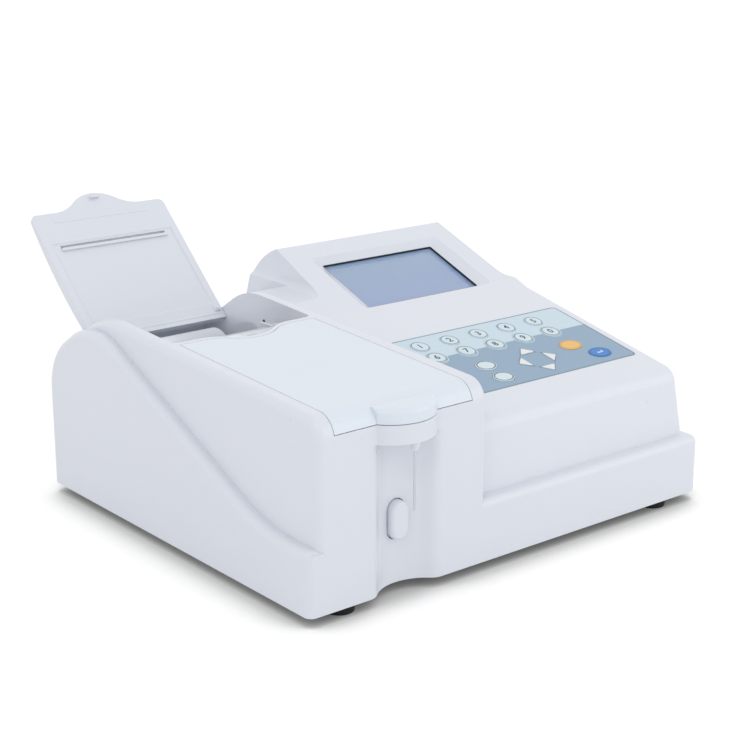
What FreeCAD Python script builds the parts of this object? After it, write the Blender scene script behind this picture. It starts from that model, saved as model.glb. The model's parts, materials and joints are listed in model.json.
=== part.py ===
"""Bench-top chemistry analyser: moulded housing, flow-cell bay, strip printer, display and keypad."""
import FreeCAD, Part
import math
import os

from FreeCAD import Vector

# Body: X from the left side, Y from the front face, Z from the housing's lower edge
BODY_W = 402.0
BODY_D = 355.5
WALL = 3.0
PLINTH_H = 48.0
PLINTH_CORNER_R = 8.0
PLINTH_SHOULDER_R = 6.0
OVERLAP = 1.0  # how far a cutter runs past the face that it cuts

# Left block that carries the flow-cell cover and the printer bay
LEFT_X0 = 9.2
LEFT_SHARE = 0.403  # of the body's width
LEFT_X1 = LEFT_SHARE * BODY_W
TOP_FRONT_Z = 141.0
TOP_SLOPE = 0.052
FRONT_TOP_R = 17.0
REAR_KNEE_Y = BODY_D - 70.7
REAR_KNEE_R = 69.0
REAR_SHOULDER_Z = 110.8
REAR_SHOULDER_R = 54.0
LEFT_CREST_R = 6.0
RIGHT_CREST_R = 4.0

# Swept step on the left flank, proud of the wall above it
FLANK_FRONT_Z = 46.0
FLANK_BEND_Y = 62.0
FLANK_BEND_Z = 51.0
FLANK_BEND_R = 150.0
FLANK_CREST_Y = BODY_D - 87.5
FLANK_CREST_Z = 144.2
FLANK_CREST_R = 60.0
FLANK_ROUND_R = 6.0

# Right block with the keypad deck
RIGHT_X0 = LEFT_X1 - 12.0
RIGHT_X1 = BODY_W - 6.0
FRONT_INSET = 12.0
FRONT_LEAN_DEG = 12.0
DECK_AXIS_Z = 95.8
DECK_SLOPE = 0.2137
DECK_FRONT_R = 14.0
DECK_FOLD_Y = BODY_D - 139.3
RIGHT_REAR_R = 45.0
RIGHT_EDGE_R = 7.0

# Screen hood
HOOD_FOOT_Y = DECK_FOLD_Y - 26.0
HOOD_FOOT_Z = 105.7
FACE_SLOPE = 0.38
HOOD_TOP_Y = BODY_D - 43.9
HOOD_TOP_R = 3.0
HOOD_KNEE_Y = BODY_D - 20.0
HOOD_KNEE_DROP = 10.3
HOOD_KNEE_R = 50.0
HOOD_TOP_X0 = LEFT_X1 + 39.9
HOOD_DRAFT = 0.22
HOOD_X1 = RIGHT_X1 - 8.5
FLARE_Z = 150.2
FLARE_R = 9.0
HOOD_FOOT_R = 7.0

# Boss and niche on the front of the left block
NICHE_X = 87.0
NICHE_HALF_W = 28.0
NICHE_DEPTH = 13.0
NICHE_EDGE_R = 12.0
BOSS_HALF_W = 27.0
BOSS_OUT = 14.0
BOSS_Z0 = 113.7
BOSS_TOP_DROP = 1.5
BOSS_ROUND_R = 4.0

# Printer bay and its lid
BAY_X0 = 20.0
BAY_X1 = LEFT_X1 - 12.0
BAY_REAR_Y = BODY_D - 25.5
BAY_FLOOR_Z = 75.7
HINGE_Y = BODY_D - 37.5
HINGE_Z = 128.7
HINGE_PIN_R = 2.0
HINGE_PIN_L = 2.4
RUN_CLEARANCE = 0.05
LID_SIDE_GAP = 0.5
LID_HEEL = 5.0
LID_LEN = 126.0
BAY_Y0 = HINGE_Y - LID_LEN + 8.0
LID_EDGE_T = 3.2
LID_CROWN_U = 55.0
LID_CROWN_T = 9.5
LID_SKIN = 2.5
LID_CORNER_R = 5.0
LID_OPEN_DEG = 42.2
LID_SEAT_GAP = 0.5
LID_HEADROOM = 100.0
LID_RIM = 6.0
LID_LEDGE = 3.0
LID_PANEL_T = 2.0
LID_PANEL_DROP = 1.0
LID_PANEL_GAP = 0.1
LID_SCOOP_U0 = 10.0
LID_SCOOP_U1 = LID_LEN - 31.0
PAPER_SLOT_U = LID_LEN - 35.0
PAPER_SLOT_H = 3.6
PAPER_SLOT_W = BAY_X1 - BAY_X0 - 28.0
TEAR_RIDGE_H = 2.6
TEAR_RIDGE_OUT = 1.0
CATCH_U = LID_LEN + 9.0
CATCH_W = 8.0
CATCH_H = 2.0
CATCH_DROP = 3.0
CATCH_GAP = 0.6

# Flow-cell cover
COVER_X0 = 22.5
COVER_X1 = LEFT_X1 - 13.6
COVER_LIP_Z = 128.1
COVER_LID_GAP = 3.0
COVER_REAR_Y = HINGE_Y - LID_LEN - COVER_LID_GAP
COVER_GAP = 0.6
COVER_LEDGE = 4.0
COVER_SEAT_GAP = 0.3
COVER_RIB_T = 2.0
COVER_RIB_DROP = 9.0
COVER_RIB_GAP = 1.0

# Wave shared by the cover's rear edge and the lid's free edge
WAVE_HALF_FOOT = 31.0
WAVE_HALF_TOP = 11.0
WAVE_OUT = 15.5
WAVE_R = 32.0

# Display pocket, window and module on the hood's sloping face
SCREEN_X = (HOOD_TOP_X0 + HOOD_X1) / 2
SCREEN_Y = HOOD_TOP_Y - 58.9
POCKET_R = 5.0
POCKET_DEPTH = 5.0
SCREEN_W = 124.0
SCREEN_H = 69.0
POCKET_W = SCREEN_W + 20.0
POCKET_H = SCREEN_H + 12.8
SCREEN_R = 1.5
SCREEN_LAND = 1.5
WINDOW_T = 2.5
WINDOW_LAP = 3.0
WINDOW_GAP = 0.2
FRAME_RIM = 3.0
MODULE_BEZEL_T = 8.0
MODULE_BOARD_T = 1.6
MODULE_BOARD_EXTRA = 5.0

# Membrane keypad on the deck
PAD_X0 = LEFT_X1 + 33.0
PAD_X1 = RIGHT_X1 - 12.0
PAD_W = PAD_X1 - PAD_X0
PAD_Y0 = 55.5
PAD_Y1 = 154.0
PAD_R = 5.0
PAD_DEPTH = 2.2
PAD_CIRCUIT_T = 0.7
PAD_GAP = 0.2
PAD_BACKING_T = 3.0
RIBBON_W = 24.0
RIBBON_T = 3.0
DIGIT_KEY_R = 8.1
FUNCTION_KEY_W = 19.0
FUNCTION_KEY_H = 15.2
ACTION_KEY_W = 21.6
ACTION_KEY_H = 15.6
KEY_T = 1.0
KEY_PROUD = 0.6
KEY_GAP = 0.3
KEY_ROUND_R = 0.4
DIGIT_COLUMNS = 5
DIGIT_X0 = PAD_X0 + 0.118 * PAD_W
DIGIT_PITCH_X = 0.1672 * PAD_W
DIGIT_ROWS_Y = (138.2, 117.6)
FUNCTION_X = PAD_X0 + 0.268 * PAD_W
FUNCTION_ROWS_Y = (91.0, 70.5)
ARROW_X = PAD_X0 + 0.5275 * PAD_W
ARROW_Y = 82.7
ARROW_INNER = 11.7
ARROW_HEIGHT = 8.8
ARROW_BASE = 15.6
ARROW_CORNER_R = 0.8
CLEAR_KEY = (PAD_X0 + 0.7725 * PAD_W, 91.3)
ENTER_KEY = (PAD_X0 + 0.848 * PAD_W, 71.3)

# Sampling probe, its nozzle and the aspirate button
PROBE_Y = -8.0
PROBE_R = 0.9
PROBE_BORE_R = 0.5
PROBE_TIP_Z = 62.0
PROBE_TOP_Z = 119.7
PROBE_BEND_R = 6.0
PROBE_REAR_Y = 16.0
NOZZLE_BASE_R = 4.8
NOZZLE_TIP_R = 2.2
NOZZLE_TIP_Z = BOSS_Z0 - 7.0
NOZZLE_SPIGOT_R = 3.6
NOZZLE_SPIGOT_H = 3.0
NOZZLE_MOUTH_R = 2.4
PASSAGE_R = 3.0
PRESS_GAP = 0.05
BUTTON_Z = 49.2
BUTTON_W = 16.0
BUTTON_H = 29.5
BUTTON_FACE_Y = 6.0
BUTTON_GAP = 0.8
BUTTON_ROUND_R = 3.0
BUTTON_FLANGE = 2.0
BUTTON_FLANGE_T = 1.5
BUTTON_STEM_R = 4.0
BUTTON_STEM_L = 4.0
BUTTON_TRAVEL = 3.0
SWITCH_GAP = 0.3
SWITCH_W = 12.0
SWITCH_T = 6.0
SWITCH_BOARD_W = 54.0
SWITCH_BOARD_H = 20.0
BOARD_T = 1.6
PEG_R = 3.0
PEG_SPREAD = 22.0

# Base plate, feet and screws
BASE_Z0 = 1.0
BASE_T = 2.5
BASE_GAP = 0.6
FOOT_H = 8.0
FOOT_TOP_R = 12.0
FOOT_R = 11.0
FOOT_INSET_X = 38.0
FOOT_INSET_Y = 16.0
FOOT_STEM_R = 3.0
FOOT_HEAD_R = 4.5
FOOT_HEAD_H = 2.0
SCREW_R = 1.5
SCREW_HEAD_R = 3.0
SCREW_HEAD_H = 2.0
SCREW_L = 18.0
SCREW_HOLE_GAP = 0.3
POST_R = 5.0
POST_TOP_Z = 30.0
POST_WALL_GAP = 11.0
POST_SIDE_Y = (62.0, BODY_D - 59.5)
POST_MID_X = LEFT_X1 + 52.0
WEB_T = 3.0
VENT_COUNT = 9
VENT_PITCH = 9.0
VENT_W = 3.5
VENT_L = 60.0
VENT_X = 110.0
VENT_Y = BODY_D - 93.5

# Optics and pump on the flow-cell tray
TRAY_Z = 75.7
TRAY_T = 2.5
TRAY_X0 = 20.0
TRAY_X1 = LEFT_X1 - 9.0
TRAY_Y0 = 26.0
TRAY_Y1 = COVER_REAR_Y - 5.0
TRAY_LEG_R = 4.0
TRAY_LEG_INSET = 7.0
BEAM_X = 60.0
BEAM_Z = 103.7
BEAM_R = 4.0
BLOCK_W = 32.0
BLOCK_Y1 = COVER_REAR_Y - 63.0
BLOCK_Y0 = BLOCK_Y1 - 42.0
BLOCK_TOP_Z = 123.7
CELL_W = 12.0
CELL_GAP = 0.25
CELL_FLOOR_Z = 87.7
CELL_TOP_Z = 125.2
CELL_BORE_R = 0.5
CELL_PORT_R = 0.9
CELL_PORT_H = 3.0
CELL_PORT_SPREAD = 3.0
LAMP_HOUSE_W = 23.0
LAMP_HOUSE_Y1 = COVER_REAR_Y - 13.0
LAMP_HOUSE_Y0 = LAMP_HOUSE_Y1 - 32.0
LAMP_HOUSE_TOP_Z = 119.7
LAMP_BORE_R = 9.0
LAMP_BULB_R = 5.5
LAMP_BULB_L = 16.0
LAMP_BASE_R = 8.7
LAMP_BASE_L = 10.0
LAMP_PIN_R = 0.8
LAMP_PIN_L = 6.0
LAMP_PIN_SPREAD = 4.0
WHEEL_R = 33.0
WHEEL_T = 4.0
WHEEL_Y = BLOCK_Y1 + 8.0
WHEEL_HUB_R = 7.0
WHEEL_HUB_L = 11.0
WHEEL_BORE_R = 2.5
FILTER_COUNT = 8
FILTER_PCD_R = 26.0
FILTER_R = 6.0
FILTER_T = 2.6
WHEEL_SLOT_GAP = 2.0
STEPPER_W = 28.0
STEPPER_CHAMFER = 3.0
STEPPER_Y0 = WHEEL_Y + 12.0
STEPPER_L = 28.0
DETECTOR_W = 28.0
DETECTOR_H = 34.0
DETECTOR_CAN_R = 3.7
DETECTOR_CAN_L = 5.0
PUMP_X = TRAY_X1 - 28.0
PUMP_Y = 66.0
PUMP_BLOCK_W = 46.0
PUMP_BLOCK_D = 30.0
PUMP_BLOCK_H = 24.0
PUMP_TUBE_GAP = 0.3
PUMP_TRACK_R = 19.5
PUMP_ROTOR_R = 13.0
PUMP_FLANGE_T = 3.0
PUMP_ROTOR_Z0 = 81.7
PUMP_ROTOR_H = 18.0
PUMP_HUB_R = 6.0
PUMP_SHAFT_R = 3.0
PUMP_ROLLER_COUNT = 3
PUMP_ROLLER_R = 3.8
PUMP_ROLLER_GAP = 0.3
PUMP_ROLLER_PCD_R = 11.6
PUMP_ROLLER_PIN_R = 1.2
PUMP_MOTOR_R = 14.0
PUMP_MOTOR_L = 42.0
TUBE_R = 1.5
TUBE_BORE_R = 0.95
TUBE_HOLE_GAP = 0.6
TUBE_GRIP = 5.0
TUBE_BEND_R = 8.0
TUBE_TIGHT_R = 4.0
SAMPLE_LEVEL_Z = 132.7
SAMPLE_RUN_Y = 40.0
WASTE_LEVEL_Z = 137.2
WASTE_TURN_Y = 44.0
WASTE_EXIT_Y = 40.0
WASTE_END_Z = -2.0

# Strip printer in the bay
PRINTER_X = (BAY_X0 + BAY_X1) / 2
FRAME_W = BAY_X1 - BAY_X0 - 26.0
FRAME_T = 2.5
FRAME_Y0 = BAY_Y0 + 3.0
FRAME_Y1 = BAY_REAR_Y - 26.0
FRAME_LOW_Z = 95.7
FRAME_TOP_Z = 138.7
FRAME_HEAD_Y1 = BAY_Y0 + 46.0
PLATEN_Y = BAY_Y0 + 24.0
PLATEN_Z = 129.7
PLATEN_R = 7.0
PLATEN_L = 62.0
PLATEN_SHAFT_R = 2.5
GEAR_MODULE = 1.0
GEAR_DEDENDUM = 1.25
PLATEN_TEETH = 20
PINION_TEETH = 10
GEAR_T = 4.0
GEAR_GAP = 0.8
GEAR_BACKLASH = 0.35
GEAR_SPREAD = 0.25
TOOTH_TIP_SHARE = 0.5
PINION_BEARING_DEG = -40.0
PINION_SHAFT_R = 1.5
PINION_HOLE_GAP = 0.5
PRINTER_MOTOR_R = 8.0
PRINTER_MOTOR_L = 15.0
HEAD_GAP = 0.5
HEAD_T = 7.0
HEAD_Z0 = 117.7
HEAD_Z1 = 135.7
ROLL_Y = FRAME_Y1 - 30.0
ROLL_R = 24.0
ROLL_W = 57.0
ROLL_CORE_R = 6.5
ROLL_GAP = 0.4
CRADLE_T = 4.0
TEAR_BAR_Y0 = BAY_Y0 + 4.0
TEAR_BAR_Y1 = TEAR_BAR_Y0 + 13.0
TEAR_BAR_T = 3.0

# Electronics and the mains inlet
MAIN_X0 = LEFT_X1 + 38.0
MAIN_X1 = BODY_W - 36.0
MAIN_Y1 = BODY_D - 159.5
MAIN_Y0 = MAIN_Y1 - 130.0
MAIN_Z = 14.0
MAIN_POST_R = 3.5
MAIN_POST_INSET = 8.0
CHIP_ROWS = 2
CHIP_COLUMNS = 4
CHIP_W = 18.0
CHIP_D = 12.0
CHIP_H = 3.0
SUPPLY_X1 = BODY_W - 36.0
SUPPLY_X0 = SUPPLY_X1 - 130.0
SUPPLY_Y1 = BODY_D - 43.5
SUPPLY_Y0 = SUPPLY_Y1 - 90.0
SUPPLY_H = 38.0
SUPPLY_SLOTS = 8
SUPPLY_SLOT_W = 4.0
SUPPLY_SLOT_L = 50.0
SUPPLY_SLOT_DEPTH = 1.5
INLET_X = BODY_W - 84.0
INLET_Z = 30.0
INLET_W = 60.0
INLET_H = 28.0
INLET_FLANGE = 3.0
INLET_FLANGE_T = 2.5
INLET_BODY_L = 24.0
INLET_GAP = 0.3
SOCKET_W = 24.6
SOCKET_H = 17.0
SOCKET_DEPTH = 17.0
SOCKET_OFFSET_X = 13.0
SOCKET_CHAMFER = 5.0
BLADE_W = 2.0
BLADE_H = 4.0
BLADE_SPREAD = 7.0
BLADE_DROP = 2.0
BLADE_RISE = 4.0
ROCKER_W = 13.0
ROCKER_H = 20.0
ROCKER_OFFSET_X = -17.0
ROCKER_GAP = 0.5
ROCKER_END_OUT = 5.0
ROCKER_WAIST_OUT = 3.4
ROCKER_BACK = 3.0
ROCKER_BACK_H = 14.0
ROCKER_SWING_GAP = 1.4
ROCKER_WELL = 10.0
ROCKER_AXLE_R = 1.5
ROCKER_AXLE_L = 1.6
ROCKER_PIVOT_IN = 3.0
ROCKER_TILT_DEG = 9.0

AXIS_X = Vector(1, 0, 0)
AXIS_Y = Vector(0, 1, 0)
AXIS_Z = Vector(0, 0, 1)
LEFT_SIDE = -1
RIGHT_SIDE = 1


def top_z(y):
    """Height of the left block's sloping top at a depth y."""
    return TOP_FRONT_Z + TOP_SLOPE * y


def deck_z(y):
    """Height of the keypad deck at a depth y."""
    return DECK_AXIS_Z + DECK_SLOPE * y


def face_z(y):
    """Height of the hood's screen face at a depth y."""
    return deck_z(DECK_FOLD_Y) + FACE_SLOPE * (y - DECK_FOLD_Y)


def in_plan(z):
    """Map outline points (x, y) to the level z."""
    return lambda x, y: Vector(x, y, z)


def in_side(x):
    """Map outline points (y, z) to the section at x."""
    return lambda y, z: Vector(x, y, z)


def in_front(y):
    """Map outline points (x, z) to the section at y."""
    return lambda x, z: Vector(x, y, z)


def signed_area(corners):
    """Area of an outline, positive where it runs counter-clockwise."""
    pairs = zip(corners, corners[1:] + corners[:1])
    return sum(a[0] * b[1] - b[0] * a[1] for a, b in pairs) / 2


def inset(corners, depth):
    """Move every side of an outline of (a, b, radius) corners inwards by a depth."""
    turn = 1 if signed_area(corners) > 0 else -1
    count = len(corners)
    lines = []
    for i in range(count):
        a = corners[i]
        b = corners[(i + 1) % count]
        length = math.hypot(b[0] - a[0], b[1] - a[1])
        ux = (b[0] - a[0]) / length
        uy = (b[1] - a[1]) / length
        lines.append((a[0] - turn * uy * depth, a[1] + turn * ux * depth, ux, uy))
    moved = []
    for i in range(count):
        px, py, ux, uy = lines[i - 1]
        qx, qy, vx, vy = lines[i]
        cross = ux * vy - uy * vx
        along = ((qx - px) * vy - (qy - py) * vx) / cross
        convex = cross * turn > 0
        radius = corners[i][2]
        if radius:
            radius = max(radius - depth, 0) if convex else radius + depth
        moved.append((px + ux * along, py + uy * along, radius))
    return moved


def outline(corners, place):
    """Closed wire through (a, b, radius) corners, each rounded by its own radius."""
    count = len(corners)
    starts = []
    arcs = []
    for i in range(count):
        a, b, radius = corners[i]
        before = corners[i - 1]
        after = corners[(i + 1) % count]
        u = Vector(before[0] - a, before[1] - b, 0).normalize()
        v = Vector(after[0] - a, after[1] - b, 0).normalize()
        point = Vector(a, b, 0)
        if radius <= 0:
            starts.append((point, point))
            arcs.append(None)
            continue
        half = u.getAngle(v) / 2
        reach = radius / math.tan(half)
        middle = (u + v).normalize()
        crown = point + middle * (radius / math.sin(half) - radius)
        starts.append((point + u * reach, point + v * reach))
        arcs.append(crown)
    edges = []
    for i in range(count):
        enter, leave = starts[i]
        if arcs[i] is not None:
            points = [place(p.x, p.y) for p in (enter, arcs[i], leave)]
            edges.append(Part.Arc(*points).toShape())
        ahead = starts[(i + 1) % count][0]
        if (ahead - leave).Length > 1e-6:
            edges.append(Part.LineSegment(place(leave.x, leave.y), place(ahead.x, ahead.y)).toShape())
    return Part.Wire(edges)


def prism(corners, place, run):
    """Solid from a rounded outline pushed along a vector."""
    return Part.Face(outline(corners, place)).extrude(run)


def block(x0, x1, y0, y1, z0, z1):
    """Box between two corners."""
    return Part.makeBox(x1 - x0, y1 - y0, z1 - z0, Vector(x0, y0, z0))


def rod(start, axis, radius, length):
    """Cylinder from a start point along an axis."""
    return Part.makeCylinder(radius, length, start, axis)


def pipe(start, axis, radius, bore, length):
    """Hollow cylinder."""
    return rod(start, axis, radius, length).cut(rod(start, axis, bore, length))


def joined(shapes):
    """One solid from touching or overlapping shapes."""
    first = shapes[0]
    return first.fuse(shapes[1:]).removeSplitter() if len(shapes) > 1 else first


def rectangle(width, height, radius):
    """Centred rounded rectangle outline."""
    w = width / 2
    h = height / 2
    return [(-w, -h, radius), (w, -h, radius), (w, h, radius), (-w, h, radius)]


def ellipse_prism(centre, width, height, axis, length, right):
    """Elliptical bar from a centre along an axis, with its width along the right vector."""
    long_right = width >= height
    major = max(width, height) / 2
    minor = min(width, height) / 2
    up = axis.cross(right)
    major_point = centre + (right if long_right else up) * major
    minor_point = centre + (up if long_right else right) * minor
    curve = Part.Ellipse(major_point, minor_point, centre)
    face = Part.Face(Part.Wire(curve.toShape()))
    return face.extrude(axis * length)


def rounded_edges(shape, radius, keep):
    """Round the edges that a test on their middle and box accepts."""
    chosen = [edge for edge in shape.Edges if keep(edge)]
    return shape.makeFillet(radius, chosen)


def on_plane_x(x, floor):
    """Test for edges that lie on a plane of constant X and above a floor."""
    def keep(edge):
        box = edge.BoundBox
        flat = abs(box.XMin - x) < 1e-3 and abs(box.XMax - x) < 1e-3
        return flat and box.ZMax > floor + 1e-3
    return keep


def base_level(depth):
    """Lower end of an outer body, or of the hollow that opens through it."""
    return 0.0 if depth == 0 else -depth - OVERLAP


def left_section(depth, x0, x1):
    """Side section of the left block pushed across, with its sides moved in."""
    corners = [
        (0, base_level(depth), 0),
        (BODY_D, base_level(depth), 0),
        (BODY_D, REAR_SHOULDER_Z, REAR_SHOULDER_R),
        (REAR_KNEE_Y, top_z(REAR_KNEE_Y), REAR_KNEE_R),
        (0, top_z(0), FRONT_TOP_R),
    ]
    return prism(inset(corners, depth), in_side(x0), Vector(x1 - x0, 0, 0))


def left_block(depth):
    """Left block, or the same block with all its sides moved in."""
    base = base_level(depth)
    x0 = LEFT_X0 + depth
    x1 = LEFT_X1 - depth
    solid = left_section(depth, x0, x1)
    if depth:
        return solid
    solid = rounded_edges(solid, LEFT_CREST_R, on_plane_x(x0, base))
    return rounded_edges(solid, RIGHT_CREST_R, on_plane_x(x1, base))


def left_flank(depth):
    """Proud lower flank whose upper edge sweeps from the front corner to the rear crest."""
    base = base_level(depth)
    rear_run = (BODY_D - REAR_KNEE_Y) / (top_z(REAR_KNEE_Y) - REAR_SHOULDER_Z)
    rear_y = BODY_D - (FLANK_CREST_Z - REAR_SHOULDER_Z) * rear_run
    corners = [
        (0, base, 0),
        (BODY_D, base, 0),
        (BODY_D, REAR_SHOULDER_Z, REAR_SHOULDER_R),
        (rear_y, FLANK_CREST_Z, FLANK_CREST_R),
        (FLANK_CREST_Y, FLANK_CREST_Z, FLANK_CREST_R),
        (FLANK_BEND_Y, FLANK_BEND_Z, FLANK_BEND_R),
        (0, FLANK_FRONT_Z, 0),
    ]
    reach = LEFT_X0 + WALL + OVERLAP
    solid = prism(inset(corners, depth), in_side(depth), Vector(reach, 0, 0))
    if depth:
        return solid
    return rounded_edges(solid, FLANK_ROUND_R, on_plane_x(0, base))


def deck_front():
    """Corner where the leaning front of the right block would meet the deck."""
    lean = math.tan(math.radians(FRONT_LEAN_DEG))
    y = (FRONT_INSET + lean * (DECK_AXIS_Z - PLINTH_H)) / (1 - lean * DECK_SLOPE)
    return y, deck_z(y)


def below_left_top(solid, depth):
    """Trim what lies between the left block and the hood to the left block's own side section."""
    x0 = RIGHT_X0 - OVERLAP
    x1 = hood_left_x(deck_z(DECK_FOLD_Y)) + depth
    beside = block(x0, x1, 0, BODY_D + OVERLAP, PLINTH_H, face_z(HOOD_TOP_Y) + WALL)
    return solid.cut(beside.cut(left_section(depth, x0, x1)))


def right_block(depth):
    """Right block with the leaning front and the keypad deck."""
    base = base_level(depth)
    front_y, front_z = deck_front()
    corners = [
        (FRONT_INSET, base, 0),
        (BODY_D, base, 0),
        (BODY_D, deck_z(DECK_FOLD_Y), RIGHT_REAR_R),
        (DECK_FOLD_Y, deck_z(DECK_FOLD_Y), 0),
        (front_y, front_z, DECK_FRONT_R),
        (FRONT_INSET, PLINTH_H, 0),
    ]
    x0 = RIGHT_X0 + depth
    x1 = RIGHT_X1 - depth
    solid = prism(inset(corners, depth), in_side(x0), Vector(x1 - x0, 0, 0))
    if not depth:
        solid = rounded_edges(solid, RIGHT_EDGE_R, on_plane_x(x1, PLINTH_H))
    return below_left_top(solid, depth)


def hood_left_x(z):
    """Left side of the hood, which drafts inwards as it rises."""
    return HOOD_TOP_X0 - HOOD_DRAFT * (face_z(HOOD_TOP_Y) - z)


def hood(depth):
    """Screen hood: its side section met with a front section that flares at the foot."""
    side = [
        (HOOD_FOOT_Y, HOOD_FOOT_Z, 0),
        (BODY_D, HOOD_FOOT_Z, 0),
        (HOOD_KNEE_Y, face_z(HOOD_TOP_Y) - HOOD_KNEE_DROP, HOOD_KNEE_R),
        (HOOD_TOP_Y, face_z(HOOD_TOP_Y), HOOD_TOP_R),
        (HOOD_FOOT_Y, face_z(HOOD_FOOT_Y), 0),
    ]
    shoulder_z = deck_z(DECK_FOLD_Y)
    over_z = face_z(HOOD_TOP_Y) + WALL + OVERLAP
    front = [
        (RIGHT_X0, HOOD_FOOT_Z, 0),
        (RIGHT_X1, HOOD_FOOT_Z, 0),
        (RIGHT_X1, shoulder_z, 0),
        (HOOD_X1, shoulder_z, HOOD_FOOT_R),
        (HOOD_X1, over_z, 0),
        (hood_left_x(over_z), over_z, 0),
        (hood_left_x(FLARE_Z), FLARE_Z, FLARE_R),
        (RIGHT_X0, FLARE_Z, 0),
    ]
    across = prism(inset(side, depth), in_side(0), Vector(BODY_W, 0, 0))
    along = prism(inset(front, depth), in_front(0), Vector(0, BODY_D + OVERLAP, 0))
    return below_left_top(across.common(along), depth)


def plinth(depth):
    """Plinth outline under both blocks, with its rounded shoulder."""
    r = PLINTH_CORNER_R
    corners = [(0, 0, r), (BODY_W, 0, r), (BODY_W, BODY_D, r), (0, BODY_D, r)]
    base = base_level(depth) / 2
    top = PLINTH_H - depth
    solid = prism(inset(corners, depth), in_plan(base), Vector(0, 0, top - base))
    if depth:
        return solid
    return rounded_edges(solid, PLINTH_SHOULDER_R, lambda e: e.BoundBox.ZMin > top - 1e-3)


def niche(growth):
    """Concave scoop under the boss, grown by a wall where that is given."""
    radius = (NICHE_HALF_W ** 2 + NICHE_DEPTH ** 2) / (2 * NICHE_DEPTH)
    centre = Vector(NICHE_X, NICHE_DEPTH - radius, -OVERLAP - growth)
    return rod(centre, AXIS_Z, radius + growth, BOSS_Z0 + OVERLAP + 2 * growth)


def boss(z0, z1):
    """Half-round boss on the front face between two levels."""
    left = Vector(NICHE_X - BOSS_HALF_W, 0, z0)
    front = Vector(NICHE_X, -BOSS_OUT, z0)
    right = Vector(NICHE_X + BOSS_HALF_W, 0, z0)
    back = Vector(0, FRONT_TOP_R, 0)
    edges = [
        Part.Arc(left, front, right).toShape(),
        Part.LineSegment(right, right + back).toShape(),
        Part.LineSegment(right + back, left + back).toShape(),
        Part.LineSegment(left + back, left).toShape(),
    ]
    return Part.Face(Part.Wire(edges)).extrude(Vector(0, 0, z1 - z0))


def wave(start, finish, level, out):
    """Corners of an edge with a central wave, from one side to the other."""
    way = 1 if finish > start else -1
    foot = way * WAVE_HALF_FOOT
    top = way * WAVE_HALF_TOP
    middle = (COVER_X0 + COVER_X1) / 2
    return [
        (start, level, 0),
        (middle - foot, level, WAVE_R),
        (middle - top, level + out, WAVE_R),
        (middle + top, level + out, WAVE_R),
        (middle + foot, level, WAVE_R),
        (finish, level, 0),
    ]


def cover_area(shrink, z0):
    """Space over the cover's plan outline, drawn in by a margin."""
    front = -BOSS_OUT - OVERLAP
    rear = wave(COVER_X1, COVER_X0, COVER_REAR_Y, -WAVE_OUT)
    corners = [(COVER_X0, front, 0), (COVER_X1, front, 0)] + rear
    height = top_z(BODY_D) + WALL - z0
    return prism(inset(corners, shrink), in_plan(z0), Vector(0, 0, height))


def lid_pose(shape, angle_deg):
    """Stand a part of the lid, drawn along +Y from its hinge line, at an angle."""
    turned = shape.copy()
    turned.rotate(Vector(0, 0, 0), AXIS_X, angle_deg)
    turned.translate(Vector(0, HINGE_Y, HINGE_Z))
    return turned


def lid_closed_deg():
    """Angle from the open lid's line at rest to the line where its edge meets the cover."""
    drop = LID_LEN * TOP_SLOPE
    rise = top_z(HINGE_Y) - drop - HINGE_Z - LID_EDGE_T / 2
    return 180 - math.degrees(math.asin(rise / LID_LEN))


def lid_outline(growth):
    """Plan of the lid along its own length, from the heel to the wavy free edge."""
    x0 = BAY_X0 + LID_SIDE_GAP
    x1 = BAY_X1 - LID_SIDE_GAP
    free = wave(x1, x0, LID_LEN, WAVE_OUT)
    free[0] = (x1, LID_LEN, LID_CORNER_R)
    free[-1] = (x0, LID_LEN, LID_CORNER_R)
    corners = [(x0, -LID_HEEL, 0), (x1, -LID_HEEL, 0)] + free
    return inset(corners, -growth)


def lid_skin(u, depth):
    """Height of the lid's crowned skin at a distance u from the hinge, less a depth."""
    half = (LID_LEN - LID_CROWN_U) ** 2
    share = (u - LID_CROWN_U) ** 2 / half
    return LID_CROWN_T - (LID_CROWN_T - LID_EDGE_T) * share - depth


def crowned(u0, u1, base, depth):
    """Section of the lid between two distances, under an arc through its skin."""
    low0 = Vector(0, u0, base)
    low1 = Vector(0, u1, base)
    high0 = Vector(0, u0, lid_skin(u0, depth))
    high1 = Vector(0, u1, lid_skin(u1, depth))
    crown = Vector(0, LID_CROWN_U, lid_skin(LID_CROWN_U, depth))
    edges = [
        Part.LineSegment(low0, low1).toShape(),
        Part.LineSegment(low1, high1).toShape(),
        Part.Arc(high1, crown, high0).toShape(),
        Part.LineSegment(high0, low0).toShape(),
    ]
    return Part.Face(Part.Wire(edges)).extrude(Vector(BODY_W, 0, 0))


def lid_pocket(shrink):
    """Sides and ends of the pocket inside the lid, drawn in by a margin."""
    x0 = BAY_X0 + LID_SIDE_GAP + LID_RIM + shrink
    x1 = BAY_X1 - LID_SIDE_GAP - LID_RIM - shrink
    return x0, x1, LID_SCOOP_U0 + shrink, LID_SCOOP_U1 - shrink


def paper_slot():
    """Slot across the lid where the paper comes out."""
    middle = (BAY_X0 + BAY_X1) / 2
    half = PAPER_SLOT_W / 2
    start = PAPER_SLOT_U - PAPER_SLOT_H / 2
    return block(middle - half, middle + half, start, start + PAPER_SLOT_H, -OVERLAP, LID_CROWN_T)


def lid_at_rest(shape):
    """Turn a part of the lid, drawn with its inside down, to the open lid's place."""
    placed = shape.copy()
    placed.translate(Vector(0, 0, -LID_EDGE_T / 2))
    return lid_pose(placed.mirror(Vector(0, 0, 0), AXIS_Z), LID_OPEN_DEG)


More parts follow.
